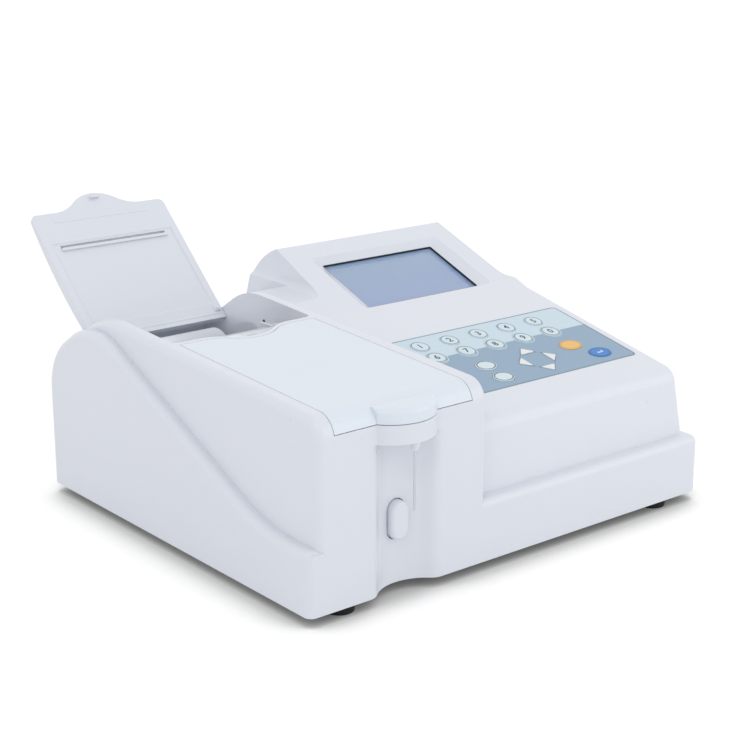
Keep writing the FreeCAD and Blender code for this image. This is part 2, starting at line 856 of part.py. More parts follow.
def printer_lid():
    """Printer lid at rest, open: crowned hollow skin, seat for its panel, paper slot, catch and pins."""
    plan = prism(lid_outline(0), in_plan(0), Vector(0, 0, LID_CROWN_T))
    body = crowned(-LID_HEEL, LID_LEN, 0, 0)
    tab = block(0, BODY_W, LID_LEN - OVERLAP, LID_LEN + WAVE_OUT + OVERLAP, 0, LID_EDGE_T)
    body = body.fuse(tab).common(plan)
    seat = block(*lid_pocket(0), -OVERLAP, LID_PANEL_DROP + LID_PANEL_T)
    x0, x1, u0, u1 = lid_pocket(LID_LEDGE)
    scoop = crowned(u0, u1, 0, LID_SKIN).common(block(x0, x1, u0, u1, 0, LID_CROWN_T))
    body = body.cut([seat, scoop, paper_slot()])
    catch_x = (COVER_X0 + COVER_X1) / 2 - CATCH_W / 2
    hook = block(catch_x, catch_x + CATCH_W, CATCH_U, CATCH_U + CATCH_H, -CATCH_DROP, LID_EDGE_T / 2)
    length = BAY_X1 - BAY_X0 - 2 * LID_SIDE_GAP + 2 * HINGE_PIN_L
    pin_start = Vector(BAY_X0 + LID_SIDE_GAP - HINGE_PIN_L, 0, LID_EDGE_T / 2)
    pin = rod(pin_start, AXIS_X, HINGE_PIN_R, length)
    return lid_at_rest(joined([body, hook, pin]))


def lid_panel():
    """Flat panel that closes the lid's hollow, with the tear ridge beside the paper slot."""
    floor = LID_PANEL_DROP + LID_PANEL_T
    plate = block(*lid_pocket(LID_PANEL_GAP), LID_PANEL_DROP, floor).cut(paper_slot())
    box = paper_slot().BoundBox
    start = box.YMin - TEAR_RIDGE_H
    ridge = block(box.XMin, box.XMax, start, box.YMin, -TEAR_RIDGE_OUT, floor)
    return lid_at_rest(joined([plate, ridge]))


def lid_envelope():
    """Space that the closed lid fills in the housing, with its seat gap, up to the open air."""
    plan = prism(lid_outline(LID_SEAT_GAP), in_plan(0), Vector(0, 0, LID_HEADROOM))
    plan.translate(Vector(0, 0, -LID_EDGE_T / 2 - LID_SEAT_GAP))
    mirrored = plan.mirror(Vector(0, 0, 0), AXIS_Z)
    return lid_pose(mirrored, lid_closed_deg())


def on_slope(shape, x, y, z, slope):
    """Lay a part drawn flat about the origin on a surface that rises to the rear."""
    laid = shape.copy()
    laid.rotate(Vector(0, 0, 0), AXIS_X, math.degrees(math.atan(slope)))
    laid.translate(Vector(x, y, z))
    return laid


def on_face(shape):
    """Lay a part on the hood's screen face, centred on the display."""
    return on_slope(shape, SCREEN_X, SCREEN_Y, face_z(SCREEN_Y), FACE_SLOPE)


def pad_centre():
    """Middle of the keypad on the deck."""
    return (PAD_X0 + PAD_X1) / 2, (PAD_Y0 + PAD_Y1) / 2


def on_deck(shape):
    """Lay a part on the keypad deck, centred on the keypad."""
    x, y = pad_centre()
    return on_slope(shape, x, y, deck_z(y), DECK_SLOPE)


def deck_size(shrink):
    """Rounded outline of the keypad in the deck's own plane, drawn in by a margin."""
    stretch = math.hypot(1, DECK_SLOPE)
    width = PAD_X1 - PAD_X0 - 2 * shrink
    height = (PAD_Y1 - PAD_Y0) * stretch - 2 * shrink
    return rectangle(width, height, PAD_R - shrink)


def flat_slab(corners, z0, z1):
    """Flat plate with a rounded outline between two levels."""
    return prism(corners, in_plan(z0), Vector(0, 0, z1 - z0))


def screen_frame():
    """Thick frame behind the display pocket."""
    rim = rectangle(POCKET_W + 2 * FRAME_RIM, POCKET_H + 2 * FRAME_RIM, POCKET_R)
    depth = POCKET_DEPTH + SCREEN_LAND + WINDOW_T
    return on_face(flat_slab(rim, -depth, 0))


def screen_cuts():
    """Bevelled pocket, view opening and window rebate of the display."""
    floor = -POCKET_DEPTH
    rise = OVERLAP / POCKET_DEPTH
    grow_w = POCKET_W + (POCKET_W - SCREEN_W) * rise
    grow_h = POCKET_H + (POCKET_H - SCREEN_H) * rise
    mouth = outline(rectangle(grow_w, grow_h, POCKET_R), in_plan(OVERLAP))
    throat = outline(rectangle(SCREEN_W, SCREEN_H, SCREEN_R), in_plan(floor))
    bevel = Part.makeLoft([throat, mouth], True, True)
    view = flat_slab(rectangle(SCREEN_W, SCREEN_H, SCREEN_R), floor - SCREEN_LAND - OVERLAP, floor)
    lap = 2 * (WINDOW_LAP + WINDOW_GAP)
    rebate = rectangle(SCREEN_W + lap, SCREEN_H + lap, SCREEN_R)
    back = floor - SCREEN_LAND
    pocket = flat_slab(rebate, back - WINDOW_T - OVERLAP, back)
    return on_face(joined([bevel, view, pocket]))


def lcd_window():
    """Clear window behind the pocket's land."""
    lap = 2 * WINDOW_LAP
    top = -POCKET_DEPTH - SCREEN_LAND
    plate = rectangle(SCREEN_W + lap, SCREEN_H + lap, SCREEN_R)
    return on_face(flat_slab(plate, top - WINDOW_T, top))


def lcd_module():
    """Display module: bezel frame round a recessed cell, on its board."""
    top = -POCKET_DEPTH - SCREEN_LAND - WINDOW_T
    lap = 2 * (WINDOW_LAP + WINDOW_GAP)
    bezel = rectangle(SCREEN_W + lap, SCREEN_H + lap, SCREEN_R)
    body = flat_slab(bezel, top - MODULE_BEZEL_T, top)
    opening = rectangle(SCREEN_W - lap, SCREEN_H - lap, SCREEN_R)
    body = body.cut(flat_slab(opening, top - MODULE_BOARD_T, top + OVERLAP))
    extra = 2 * MODULE_BOARD_EXTRA
    board = rectangle(SCREEN_W + extra, SCREEN_H + extra, SCREEN_R)
    low = top - MODULE_BEZEL_T
    return on_face(joined([body, flat_slab(board, low - MODULE_BOARD_T, low)]))


def key_local(place):
    """Position of a point of the deck's plan in the deck's own plane."""
    x, y = pad_centre()
    return Vector(place[0] - x, (place[1] - y) * math.hypot(1, DECK_SLOPE), 0)


def round_key(place):
    """Maker of a round key bar at a place, grown by a margin, between two levels."""
    def make(grow, z0, z1):
        return rod(key_local(place) + AXIS_Z * z0, AXIS_Z, DIGIT_KEY_R + grow, z1 - z0)
    return make


def oval_key(place, width, height):
    """Maker of an oval key bar at a place, grown by a margin, between two levels."""
    def make(grow, z0, z1):
        centre = key_local(place) + AXIS_Z * z0
        return ellipse_prism(centre, width + 2 * grow, height + 2 * grow, AXIS_Z, z1 - z0, AXIS_X)
    return make


def arrow_key(turn_deg):
    """Maker of a triangular key bar that points away from the arrow group's centre."""
    def make(grow, z0, z1):
        tip = ARROW_INNER + ARROW_HEIGHT
        base = ARROW_BASE / 2
        shape = [(ARROW_INNER, -base), (tip, 0), (ARROW_INNER, base)]
        corners = [(x, y, ARROW_CORNER_R) for x, y in shape]
        bar = flat_slab(inset(corners, -grow), z0, z1)
        bar.rotate(Vector(0, 0, 0), AXIS_Z, turn_deg)
        bar.translate(key_local((ARROW_X, ARROW_Y)))
        return bar
    return make


def key_makers():
    """Every key's name with the maker of its bar in the deck's own plane."""
    makers = {}
    for row, y in enumerate(DIGIT_ROWS_Y):
        for column in range(DIGIT_COLUMNS):
            number = (row * DIGIT_COLUMNS + column + 1) % 10
            place = (DIGIT_X0 + column * DIGIT_PITCH_X, y)
            makers["key_%d" % number] = round_key(place)
    for index, y in enumerate(FUNCTION_ROWS_Y):
        makers["key_function_%d" % (index + 1)] = oval_key((FUNCTION_X, y), FUNCTION_KEY_W, FUNCTION_KEY_H)
    for name, turn_deg in (("right", 0), ("up", 90), ("left", 180), ("down", 270)):
        makers["key_" + name] = arrow_key(turn_deg)
    makers["key_clear"] = oval_key(CLEAR_KEY, ACTION_KEY_W, ACTION_KEY_H)
    makers["key_enter"] = oval_key(ENTER_KEY, ACTION_KEY_W, ACTION_KEY_H)
    return makers


def key_cap(make):
    """Embossed key, standing a little proud of the overlay."""
    cap = make(0, -KEY_T, KEY_PROUD)
    top = KEY_PROUD - 1e-3
    return on_deck(rounded_edges(cap, KEY_ROUND_R, lambda e: e.BoundBox.ZMin > top))


def keypad_overlay():
    """Graphic overlay with a clearance hole round each key."""
    low = -PAD_DEPTH + PAD_CIRCUIT_T
    sheet = flat_slab(deck_size(PAD_GAP), low, 0)
    holes = [make(KEY_GAP, low - OVERLAP, OVERLAP) for make in key_makers().values()]
    return on_deck(sheet.cut(holes))


def keypad_circuit():
    """Switch circuit under the overlay, with its ribbon tail through the deck."""
    low = -PAD_DEPTH
    sheet = flat_slab(deck_size(PAD_GAP), low, low + PAD_CIRCUIT_T)
    w = (RIBBON_W - RIBBON_T) / 2
    tail = block(-w, w, 0, PAD_CIRCUIT_T, low - PAD_BACKING_T - RIBBON_T, low + PAD_CIRCUIT_T)
    return on_deck(joined([sheet, tail]))


def pad_backing():
    """Thick floor under the keypad recess."""
    return on_deck(flat_slab(deck_size(-FRAME_RIM), -PAD_DEPTH - PAD_BACKING_T, 0))


def pad_cuts():
    """Keypad recess and the slot for its ribbon tail."""
    recess = flat_slab(deck_size(0), -PAD_DEPTH, OVERLAP)
    w = RIBBON_W / 2
    t = RIBBON_T / 2
    slot = block(-w, w, -t, t, -PAD_DEPTH - PAD_BACKING_T - OVERLAP, 0)
    return on_deck(joined([recess, slot]))


def bay_tub():
    """Walls and floor of the printer bay."""
    shell = block(BAY_X0 - WALL, BAY_X1 + WALL, BAY_Y0 - WALL, BODY_D - WALL, BAY_FLOOR_Z - WALL, BODY_D)
    hollow = block(BAY_X0, BAY_X1, BAY_Y0, BODY_D, BAY_FLOOR_Z, BODY_D)
    front_y = COVER_REAR_Y - WAVE_OUT - COVER_LEDGE
    shelf_z = top_z(front_y) - 3 * WALL
    shelf = block(BAY_X0 - WALL, BAY_X1 + WALL, front_y, BAY_Y0, shelf_z, BODY_D)
    return joined([shell.cut(hollow), shelf]).common(left_block(WALL / 2))


def cover_ledge():
    """Seat round the cover's opening, one wall below the outer skin."""
    low = COVER_LIP_Z - 2 * COVER_LEDGE
    ring = cover_area(-COVER_LEDGE, low).cut(cover_area(COVER_LEDGE, low - OVERLAP))
    return left_block(WALL).cut(left_block(2 * WALL)).common(ring)


def post_places():
    """Screw posts: a pair beside each flank and one at the front and rear walls."""
    near = WALL + POST_WALL_GAP
    places = [(near, y, -1, 0) for y in POST_SIDE_Y]
    places += [(BODY_W - near, y, 1, 0) for y in POST_SIDE_Y]
    places += [(POST_MID_X, near, 0, -1), (POST_MID_X, BODY_D - near, 0, 1)]
    return places


def posts():
    """Screw posts, each tied to the wall beside it by a web."""
    low = BASE_Z0 + BASE_T
    height = POST_TOP_Z - low
    made = []
    for x, y, way_x, way_y in post_places():
        post = pipe(Vector(x, y, low), AXIS_Z, POST_R, SCREW_R, height)
        reach = POST_WALL_GAP + WALL / 2
        half = WEB_T / 2
        start = POST_R - OVERLAP
        near_x = x + way_x * start - abs(way_y) * half
        far_x = x + way_x * reach + abs(way_y) * half
        near_y = y + way_y * start - abs(way_x) * half
        far_y = y + way_y * reach + abs(way_x) * half
        xs = sorted((near_x, far_x))
        ys = sorted((near_y, far_y))
        made.append(post.fuse(block(xs[0], xs[1], ys[0], ys[1], low, POST_TOP_Z)))
    return made


def switch_board_y():
    """Front face of the aspirate switch's board."""
    return button_stem_y() + BUTTON_TRAVEL + SWITCH_GAP + SWITCH_T


def niche_back(offset_x):
    """Depth of the niche wall's rear face at a distance from its centre line."""
    radius = (NICHE_HALF_W ** 2 + NICHE_DEPTH ** 2) / (2 * NICHE_DEPTH)
    return NICHE_DEPTH - radius + math.sqrt((radius + WALL) ** 2 - offset_x ** 2)


def switch_pegs():
    """Pegs on the back of the niche that carry the aspirate switch."""
    start = niche_back(PEG_SPREAD) - WALL
    length = switch_board_y() - start
    places = [NICHE_X - PEG_SPREAD, NICHE_X + PEG_SPREAD]
    return [rod(Vector(x, start, BUTTON_Z), AXIS_Y, PEG_R, length).cut(niche(0)) for x in places]


def button_bore(growth, y0, y1):
    """Upright bar with half-round ends along Y at the aspirate button."""
    width = BUTTON_W + 2 * growth
    corners = rectangle(width, BUTTON_H + 2 * growth, width / 2)
    return prism(corners, lambda a, b: Vector(NICHE_X + a, y0, BUTTON_Z + b), Vector(0, y1 - y0, 0))


def button_stem_y():
    """Rear end of the aspirate button's stem."""
    return niche_back(0) + COVER_GAP + BUTTON_FLANGE_T + BUTTON_STEM_L


def aspirate_button():
    """Long button with a flange behind the niche wall and a stem towards its switch."""
    flange_y = niche_back(0) + COVER_GAP
    cap = button_bore(0, BUTTON_FACE_Y, flange_y)
    cap = rounded_edges(cap, BUTTON_ROUND_R, lambda e: e.BoundBox.YMax < BUTTON_FACE_Y + 1e-3)
    flange = button_bore(BUTTON_FLANGE, flange_y, flange_y + BUTTON_FLANGE_T)
    stem = rod(Vector(NICHE_X, flange_y, BUTTON_Z), AXIS_Y, BUTTON_STEM_R, button_stem_y() - flange_y)
    return joined([cap, flange, stem])


def button_switch():
    """Switch on its small board behind the aspirate button."""
    y = switch_board_y()
    w = SWITCH_BOARD_W / 2
    h = SWITCH_BOARD_H / 2
    board = block(NICHE_X - w, NICHE_X + w, y, y + BOARD_T, BUTTON_Z - h, BUTTON_Z + h)
    s = SWITCH_W / 2
    body = block(NICHE_X - s, NICHE_X + s, y - SWITCH_T + BOARD_T, y, BUTTON_Z - s, BUTTON_Z + s)
    plunger = rod(Vector(NICHE_X, y - SWITCH_T, BUTTON_Z), AXIS_Y, BUTTON_STEM_R / 2, SWITCH_T)
    return joined([board, body, plunger])


def rear_cut():
    """Opening for the inlet module in the rear wall."""
    g = INLET_GAP
    w = INLET_W / 2 + g
    h = INLET_H / 2 + g
    y0 = BODY_D - 2 * WALL
    return block(INLET_X - w, INLET_X + w, y0, BODY_D + OVERLAP, INLET_Z - h, INLET_Z + h)


def nozzle_cuts():
    """Spigot hole under the boss and the passage for the probe into the cover's bay."""
    radius = NOZZLE_SPIGOT_R + PRESS_GAP
    hole = rod(Vector(NICHE_X, PROBE_Y, BOSS_Z0 - OVERLAP), AXIS_Z, radius, NOZZLE_SPIGOT_H + OVERLAP)
    rise = PROBE_TOP_Z - BOSS_Z0 + PASSAGE_R
    well = rod(Vector(NICHE_X, PROBE_Y, BOSS_Z0), AXIS_Z, PASSAGE_R, rise)
    way = rod(Vector(NICHE_X, PROBE_Y, PROBE_TOP_Z), AXIS_Y, PASSAGE_R, PROBE_REAR_Y - PROBE_Y)
    return [hole, well, way]


def hinge_cuts():
    """Sockets for the lid's two hinge pins."""
    radius = HINGE_PIN_R + RUN_CLEARANCE
    x0 = BAY_X0 - WALL
    length = BAY_X1 - BAY_X0 + 2 * WALL
    return rod(Vector(x0, HINGE_Y, HINGE_Z), AXIS_X, radius, length)


def catch_cut():
    """Notch in the shelf for the lid's catch."""
    grow = CATCH_GAP
    x = (COVER_X0 + COVER_X1) / 2 - CATCH_W / 2 - grow
    wide = CATCH_W + 2 * grow
    deep = CATCH_DROP + LID_EDGE_T
    notch = block(x, x + wide, CATCH_U - grow, CATCH_U + CATCH_H + grow, -deep, 0)
    mirrored = notch.mirror(Vector(0, 0, 0), AXIS_Z)
    return lid_pose(mirrored, lid_closed_deg())


def cover_cuts():
    """Seat of the flow-cell cover and the opening inside its ledge."""
    seat = cover_area(0, COVER_LIP_Z).cut(left_block(WALL))
    front_wall = block(0, BODY_W, -BODY_D, 2 * WALL, 0, BODY_D)
    opening = cover_area(COVER_LEDGE, COVER_LIP_Z - 2 * COVER_LEDGE).cut(front_wall)
    return [seat, opening]


def outer_body():
    """Outer form of the housing before it is hollowed."""
    body = joined([left_block(0), left_flank(0), plinth(0), right_block(0), hood(0)])
    body = body.cut(niche(0))
    half = NICHE_HALF_W

    def niche_edge(edge):
        box = edge.BoundBox
        upright = box.XLength < 1e-3 and box.YLength < 1e-3
        beside = abs(abs(box.XMin - NICHE_X) - half) < 0.01
        return upright and beside and abs(box.YMin) < 0.01

    body = rounded_edges(body, NICHE_EDGE_R, niche_edge)
    return body.fuse(boss(BOSS_Z0, COVER_LIP_Z))


def hollow():
    """Space inside the housing, one wall in from its outer form."""
    spaces = [left_block(WALL), left_flank(WALL), plinth(WALL), right_block(WALL), hood(WALL)]
    return joined(spaces).cut(niche(WALL))


def housing():
    """One-piece moulded housing with its seats, bays and openings."""
    shell = outer_body().cut(hollow())
    added = [cover_ledge(), bay_tub(), screen_frame().common(hood(0)), pad_backing().common(right_block(0))]
    shell = shell.fuse(added + posts() + switch_pegs())
    cuts = cover_cuts()
    cuts.append(block(BAY_X0, BAY_X1, BAY_Y0, BAY_REAR_Y, BAY_FLOOR_Z, BODY_D))
    cuts += [lid_envelope(), hinge_cuts(), catch_cut(), screen_cuts(), pad_cuts(), rear_cut()]
    cuts.append(button_bore(BUTTON_GAP, 0, niche_back(0) + OVERLAP))
    cuts += nozzle_cuts()
    for cut in cuts:
        shell = shell.cut(cut)
    return shell


def flow_cell_cover():
    """Lift-off cover: skin over the top and front, upper half of the boss, locating ribs."""
    seat = left_block(WALL - COVER_SEAT_GAP)
    low = COVER_LIP_Z + COVER_GAP
    skin = left_block(0).cut(seat).common(cover_area(COVER_GAP, low))
    boss_top = top_z(0) - BOSS_TOP_DROP
    nose = boss(low, boss_top)

    def crown_edge(edge):
        box = edge.BoundBox
        return box.ZMin > boss_top - 1e-3 and box.YMin < 0

    nose = rounded_edges(nose, BOSS_ROUND_R, crown_edge)
    rib_in = COVER_LEDGE + COVER_RIB_GAP
    ring = cover_area(rib_in, low).cut(cover_area(rib_in + COVER_RIB_T, low - OVERLAP))
    behind = block(0, BODY_W, 2 * WALL + COVER_RIB_GAP, BODY_D, 0, BODY_D)
    ribs = seat.cut(left_block(COVER_RIB_DROP)).common(ring).common(behind)
    ribs = ribs.fuse(skin)
    return joined([ribs, nose.cut(seat)])


def foot_places():
    """Centres of the four feet."""
    xs = (FOOT_INSET_X, BODY_W - FOOT_INSET_X)
    ys = (FOOT_INSET_Y, BODY_D - FOOT_INSET_Y)
    return [(x, y) for x in xs for y in ys]


def main_post_places():
    """Corners where the main board stands on the base plate."""
    xs = (MAIN_X0 + MAIN_POST_INSET, MAIN_X1 - MAIN_POST_INSET)
    ys = (MAIN_Y0 + MAIN_POST_INSET, MAIN_Y1 - MAIN_POST_INSET)
    return [(x, y) for x in xs for y in ys]


def waste_x():
    """Line of the waste tube on the pump's outlet side."""
    return PUMP_X + pump_tube_r()


def base_plate():
    """Base plate inside the plinth, with screw, foot, waste and vent holes and board posts."""
    r = PLINTH_CORNER_R
    corners = [(0, 0, r), (BODY_W, 0, r), (BODY_W, BODY_D, r), (0, BODY_D, r)]
    gap = WALL + BASE_GAP
    plate = prism(inset(corners, gap), in_plan(BASE_Z0), Vector(0, 0, BASE_T)).cut(niche(gap))
    top = BASE_Z0 + BASE_T
    under = BASE_Z0 - OVERLAP
    deep = BASE_T + 2 * OVERLAP
    shank_r = SCREW_R + SCREW_HOLE_GAP
    holes = [rod(Vector(x, y, under), AXIS_Z, shank_r, deep) for x, y, _, _ in post_places()]
    holes += [rod(Vector(x, y, under), AXIS_Z, FOOT_STEM_R, deep) for x, y in foot_places()]
    holes.append(rod(Vector(waste_x(), WASTE_EXIT_Y, under), AXIS_Z, TUBE_R + TUBE_HOLE_GAP, deep))
    for i in range(VENT_COUNT):
        x = VENT_X + (i - (VENT_COUNT - 1) / 2) * VENT_PITCH
        slot = rectangle(VENT_W, VENT_L, VENT_W / 2 - PRESS_GAP)
        cut = prism(slot, in_plan(under), Vector(0, 0, deep))
        cut.translate(Vector(x, VENT_Y, 0))
        holes.append(cut)
    plate = plate.cut(holes)
    stands = [rod(Vector(x, y, top), AXIS_Z, MAIN_POST_R, MAIN_Z - top) for x, y in main_post_places()]
    return joined([plate] + stands)


def base_screws():
    """Screws through the base plate into the housing's posts."""
    made = []
    for x, y, _, _ in post_places():
        head = rod(Vector(x, y, BASE_Z0 - SCREW_HEAD_H), AXIS_Z, SCREW_HEAD_R, SCREW_HEAD_H)
        shank = rod(Vector(x, y, BASE_Z0 - SCREW_HEAD_H), AXIS_Z, SCREW_R - PRESS_GAP, SCREW_L)
        half = SCREW_R / 3
        low = BASE_Z0 - SCREW_HEAD_H - OVERLAP
        slot = block(x - SCREW_HEAD_R, x + SCREW_HEAD_R, y - half, y + half, low, low + 2 * OVERLAP)
        made.append(joined([head, shank]).cut(slot))
    return Part.makeCompound(made)


def feet():
    """Rubber feet with push-in stems."""
    made = []
    top = BASE_Z0 + BASE_T
    for x, y in foot_places():
        pad = Part.makeCone(FOOT_R, FOOT_TOP_R, FOOT_H + BASE_Z0, Vector(x, y, -FOOT_H))
        stem = rod(Vector(x, y, BASE_Z0), AXIS_Z, FOOT_STEM_R - PRESS_GAP, BASE_T)
        head = Part.makeCone(FOOT_HEAD_R, FOOT_STEM_R, FOOT_HEAD_H, Vector(x, y, top))
        made.append(joined([pad, stem, head]))
    return Part.makeCompound(made)


def tray_top():
    """Upper face of the flow-cell tray."""
    return TRAY_Z + TRAY_T


def wheel_x():
    """Axis of the filter wheel, one filter radius beside the light beam."""
    return BEAM_X + FILTER_PCD_R


def cell_tray():
    """Tray on four legs that carries the optics and the pump."""
    plate = block(TRAY_X0, TRAY_X1, TRAY_Y0, TRAY_Y1, TRAY_Z, tray_top())
    low = BASE_Z0 + BASE_T
    xs = (TRAY_X0 + TRAY_LEG_INSET, TRAY_X1 - TRAY_LEG_INSET)
    ys = (TRAY_Y0 + TRAY_LEG_INSET, TRAY_Y1 - TRAY_LEG_INSET)
    legs = [rod(Vector(x, y, low), AXIS_Z, TRAY_LEG_R, TRAY_Z - low) for x in xs for y in ys]
    half = STEPPER_W / 4
    bed_z = BEAM_Z - STEPPER_W / 2
    bed = block(wheel_x() - half, wheel_x() + half, STEPPER_Y0, STEPPER_Y0 + STEPPER_L, TRAY_Z, bed_z)
    reach = WHEEL_R + WHEEL_SLOT_GAP
    thick = WHEEL_T / 2 + WHEEL_SLOT_GAP
    below = TRAY_Z - OVERLAP
    above = tray_top() + OVERLAP
    slot = block(wheel_x() - reach, wheel_x() + reach, WHEEL_Y - thick, WHEEL_Y + thick, below, above)
    shaft = rod(Vector(PUMP_X, PUMP_Y, below), AXIS_Z, PUMP_SHAFT_R + OVERLAP, above - below)
    waste = rod(Vector(waste_x(), WASTE_EXIT_Y, below), AXIS_Z, TUBE_R + TUBE_HOLE_GAP, above - below)
    return joined([plate, bed] + legs).cut([slot, shaft, waste])


def cell_y():
    """Middle of the flow cell along the light beam."""
    return (BLOCK_Y0 + BLOCK_Y1) / 2


def optic_block():
    """Block that holds the flow cell in the light beam."""
    w = BLOCK_W / 2
    body = block(BEAM_X - w, BEAM_X + w, BLOCK_Y0, BLOCK_Y1, tray_top(), BLOCK_TOP_Z)
    length = BLOCK_Y1 - BLOCK_Y0 + 2 * OVERLAP
    beam = rod(Vector(BEAM_X, BLOCK_Y0 - OVERLAP, BEAM_Z), AXIS_Y, BEAM_R, length)
    half = CELL_W / 2 + CELL_GAP
    y = cell_y()
    pocket = block(BEAM_X - half, BEAM_X + half, y - half, y + half, CELL_FLOOR_Z, BLOCK_TOP_Z + OVERLAP)
    return body.cut([beam, pocket])


def port_xs():
    """Lines of the flow cell's inlet and outlet."""
    return BEAM_X - CELL_PORT_SPREAD, BEAM_X + CELL_PORT_SPREAD


def flow_cell():
    """Quartz flow cell with a U-shaped bore and two hose ports."""
    half = CELL_W / 2
    y = cell_y()
    body = block(BEAM_X - half, BEAM_X + half, y - half, y + half, CELL_FLOOR_Z, CELL_TOP_Z)
    root = CELL_TOP_Z - OVERLAP
    ports = [rod(Vector(x, y, root), AXIS_Z, CELL_PORT_R, CELL_PORT_H + OVERLAP) for x in port_xs()]
    rise = CELL_TOP_Z + CELL_PORT_H - BEAM_Z + OVERLAP
    bores = [rod(Vector(x, y, BEAM_Z), AXIS_Z, CELL_BORE_R, rise) for x in port_xs()]
    bores.append(rod(Vector(port_xs()[0], y, BEAM_Z), AXIS_X, CELL_BORE_R, 2 * CELL_PORT_SPREAD))
    return joined([body] + ports).cut(bores)


def lamp_house():
    """House round the lamp, with an aperture towards the filter wheel."""
    w = LAMP_HOUSE_W / 2
    body = block(BEAM_X - w, BEAM_X + w, LAMP_HOUSE_Y0, LAMP_HOUSE_Y1, tray_top(), LAMP_HOUSE_TOP_Z)
    start = LAMP_HOUSE_Y1 - LAMP_BASE_L - LAMP_BULB_L - OVERLAP
    bore = rod(Vector(BEAM_X, start, BEAM_Z), AXIS_Y, LAMP_BORE_R, LAMP_HOUSE_Y1 - start + OVERLAP)
    front = Vector(BEAM_X, LAMP_HOUSE_Y0 - OVERLAP, BEAM_Z)
    light = rod(front, AXIS_Y, BEAM_R, LAMP_HOUSE_Y1 - LAMP_HOUSE_Y0)
    return body.cut([bore, light])


def lamp():
    """Halogen lamp: round-ended bulb, ceramic base and two pins."""
    base_y = LAMP_HOUSE_Y1 - LAMP_BASE_L
    base = rod(Vector(BEAM_X, base_y, BEAM_Z), AXIS_Y, LAMP_BASE_R, LAMP_BASE_L)
    neck = LAMP_BULB_L - LAMP_BULB_R
    bulb = rod(Vector(BEAM_X, base_y - neck, BEAM_Z), AXIS_Y, LAMP_BULB_R, neck)
    tip = Part.makeSphere(LAMP_BULB_R, Vector(BEAM_X, base_y - neck, BEAM_Z))
    pins = []
    for way in (LEFT_SIDE, RIGHT_SIDE):
        start = Vector(BEAM_X + way * LAMP_PIN_SPREAD, LAMP_HOUSE_Y1, BEAM_Z)
        pins.append(rod(start, AXIS_Y, LAMP_PIN_R, LAMP_PIN_L))
    return joined([base, bulb, tip] + pins)


def filter_places(y):
    """Centres of the filters round the wheel, with one of them in the beam."""
    places = []
    for i in range(FILTER_COUNT):
        turn = math.pi + 2 * math.pi * i / FILTER_COUNT
        dx = FILTER_PCD_R * math.cos(turn)
        dz = FILTER_PCD_R * math.sin(turn)
        places.append(Vector(wheel_x() + dx, y, BEAM_Z + dz))
    return places


def filter_wheel():
    """Wheel with a ring of filter seats on a hub that fits the motor's shaft."""
    y0 = WHEEL_Y - WHEEL_T / 2
    disc = rod(Vector(wheel_x(), y0, BEAM_Z), AXIS_Y, WHEEL_R, WHEEL_T)
    hub_y = WHEEL_Y - WHEEL_HUB_L / 2
    hub = rod(Vector(wheel_x(), hub_y, BEAM_Z), AXIS_Y, WHEEL_HUB_R, WHEEL_HUB_L)
    bore = rod(Vector(wheel_x(), hub_y - OVERLAP, BEAM_Z), AXIS_Y, WHEEL_BORE_R, WHEEL_HUB_L + 2 * OVERLAP)
    seats = [rod(place, AXIS_Y, FILTER_R, WHEEL_T + 2 * OVERLAP) for place in filter_places(y0 - OVERLAP)]
    return joined([disc, hub]).cut(seats + [bore])


def filter_glasses():
    """Filter discs in the wheel."""
    discs = []
    for place in filter_places(WHEEL_Y - FILTER_T / 2):
        discs.append(rod(place, AXIS_Y, FILTER_R - PRESS_GAP, FILTER_T))
    return Part.makeCompound(discs)


def filter_motor():
    """Stepping motor with its shaft through the wheel's hub."""
    h = STEPPER_W / 2
    c = h - STEPPER_CHAMFER
    shape = [(-c, -h), (c, -h), (h, -c), (h, c), (c, h), (-c, h), (-h, c), (-h, -c)]
    corners = [(wheel_x() + x, BEAM_Z + z, 0) for x, z in shape]
    body = prism(corners, in_front(STEPPER_Y0), Vector(0, STEPPER_L, 0))
    start = WHEEL_Y - WHEEL_HUB_L / 2
    length = STEPPER_Y0 - start + OVERLAP
    shaft = rod(Vector(wheel_x(), start, BEAM_Z), AXIS_Y, WHEEL_BORE_R - RUN_CLEARANCE, length)
    return joined([body, shaft])


def detector_board():
    """Detector on its board at the front of the optic block."""
    w = DETECTOR_W / 2
    h = DETECTOR_H / 2
    board = block(BEAM_X - w, BEAM_X + w, BLOCK_Y0 - BOARD_T, BLOCK_Y0, BEAM_Z - h, BEAM_Z + h)
    can = rod(Vector(BEAM_X, BLOCK_Y0 - BOARD_T, BEAM_Z), AXIS_Y, DETECTOR_CAN_R, DETECTOR_CAN_L + BOARD_T)
    return joined([board, can])


def pump_tube_r():
    """Radius of the pump tube's middle line in its track."""
    return PUMP_TRACK_R - TUBE_R - PUMP_TUBE_GAP


def pump_bracket():
    """Half-round track that the pump tube lies in."""
    w = PUMP_BLOCK_W / 2
    low = tray_top()
    body = block(PUMP_X - w, PUMP_X + w, PUMP_Y, PUMP_Y + PUMP_BLOCK_D, low, low + PUMP_BLOCK_H)
    start = Vector(PUMP_X, PUMP_Y, low - OVERLAP)
    return body.cut(rod(start, AXIS_Z, PUMP_TRACK_R, PUMP_BLOCK_H + 2 * OVERLAP))


def roller_places(z):
    """Axes of the pump rollers at a level."""
    places = []
    for i in range(PUMP_ROLLER_COUNT):
        turn = 2 * math.pi * i / PUMP_ROLLER_COUNT - math.pi / 2
        dx = PUMP_ROLLER_PCD_R * math.cos(turn)
        dy = PUMP_ROLLER_PCD_R * math.sin(turn)
        places.append(Vector(PUMP_X + dx, PUMP_Y + dy, z))
    return places


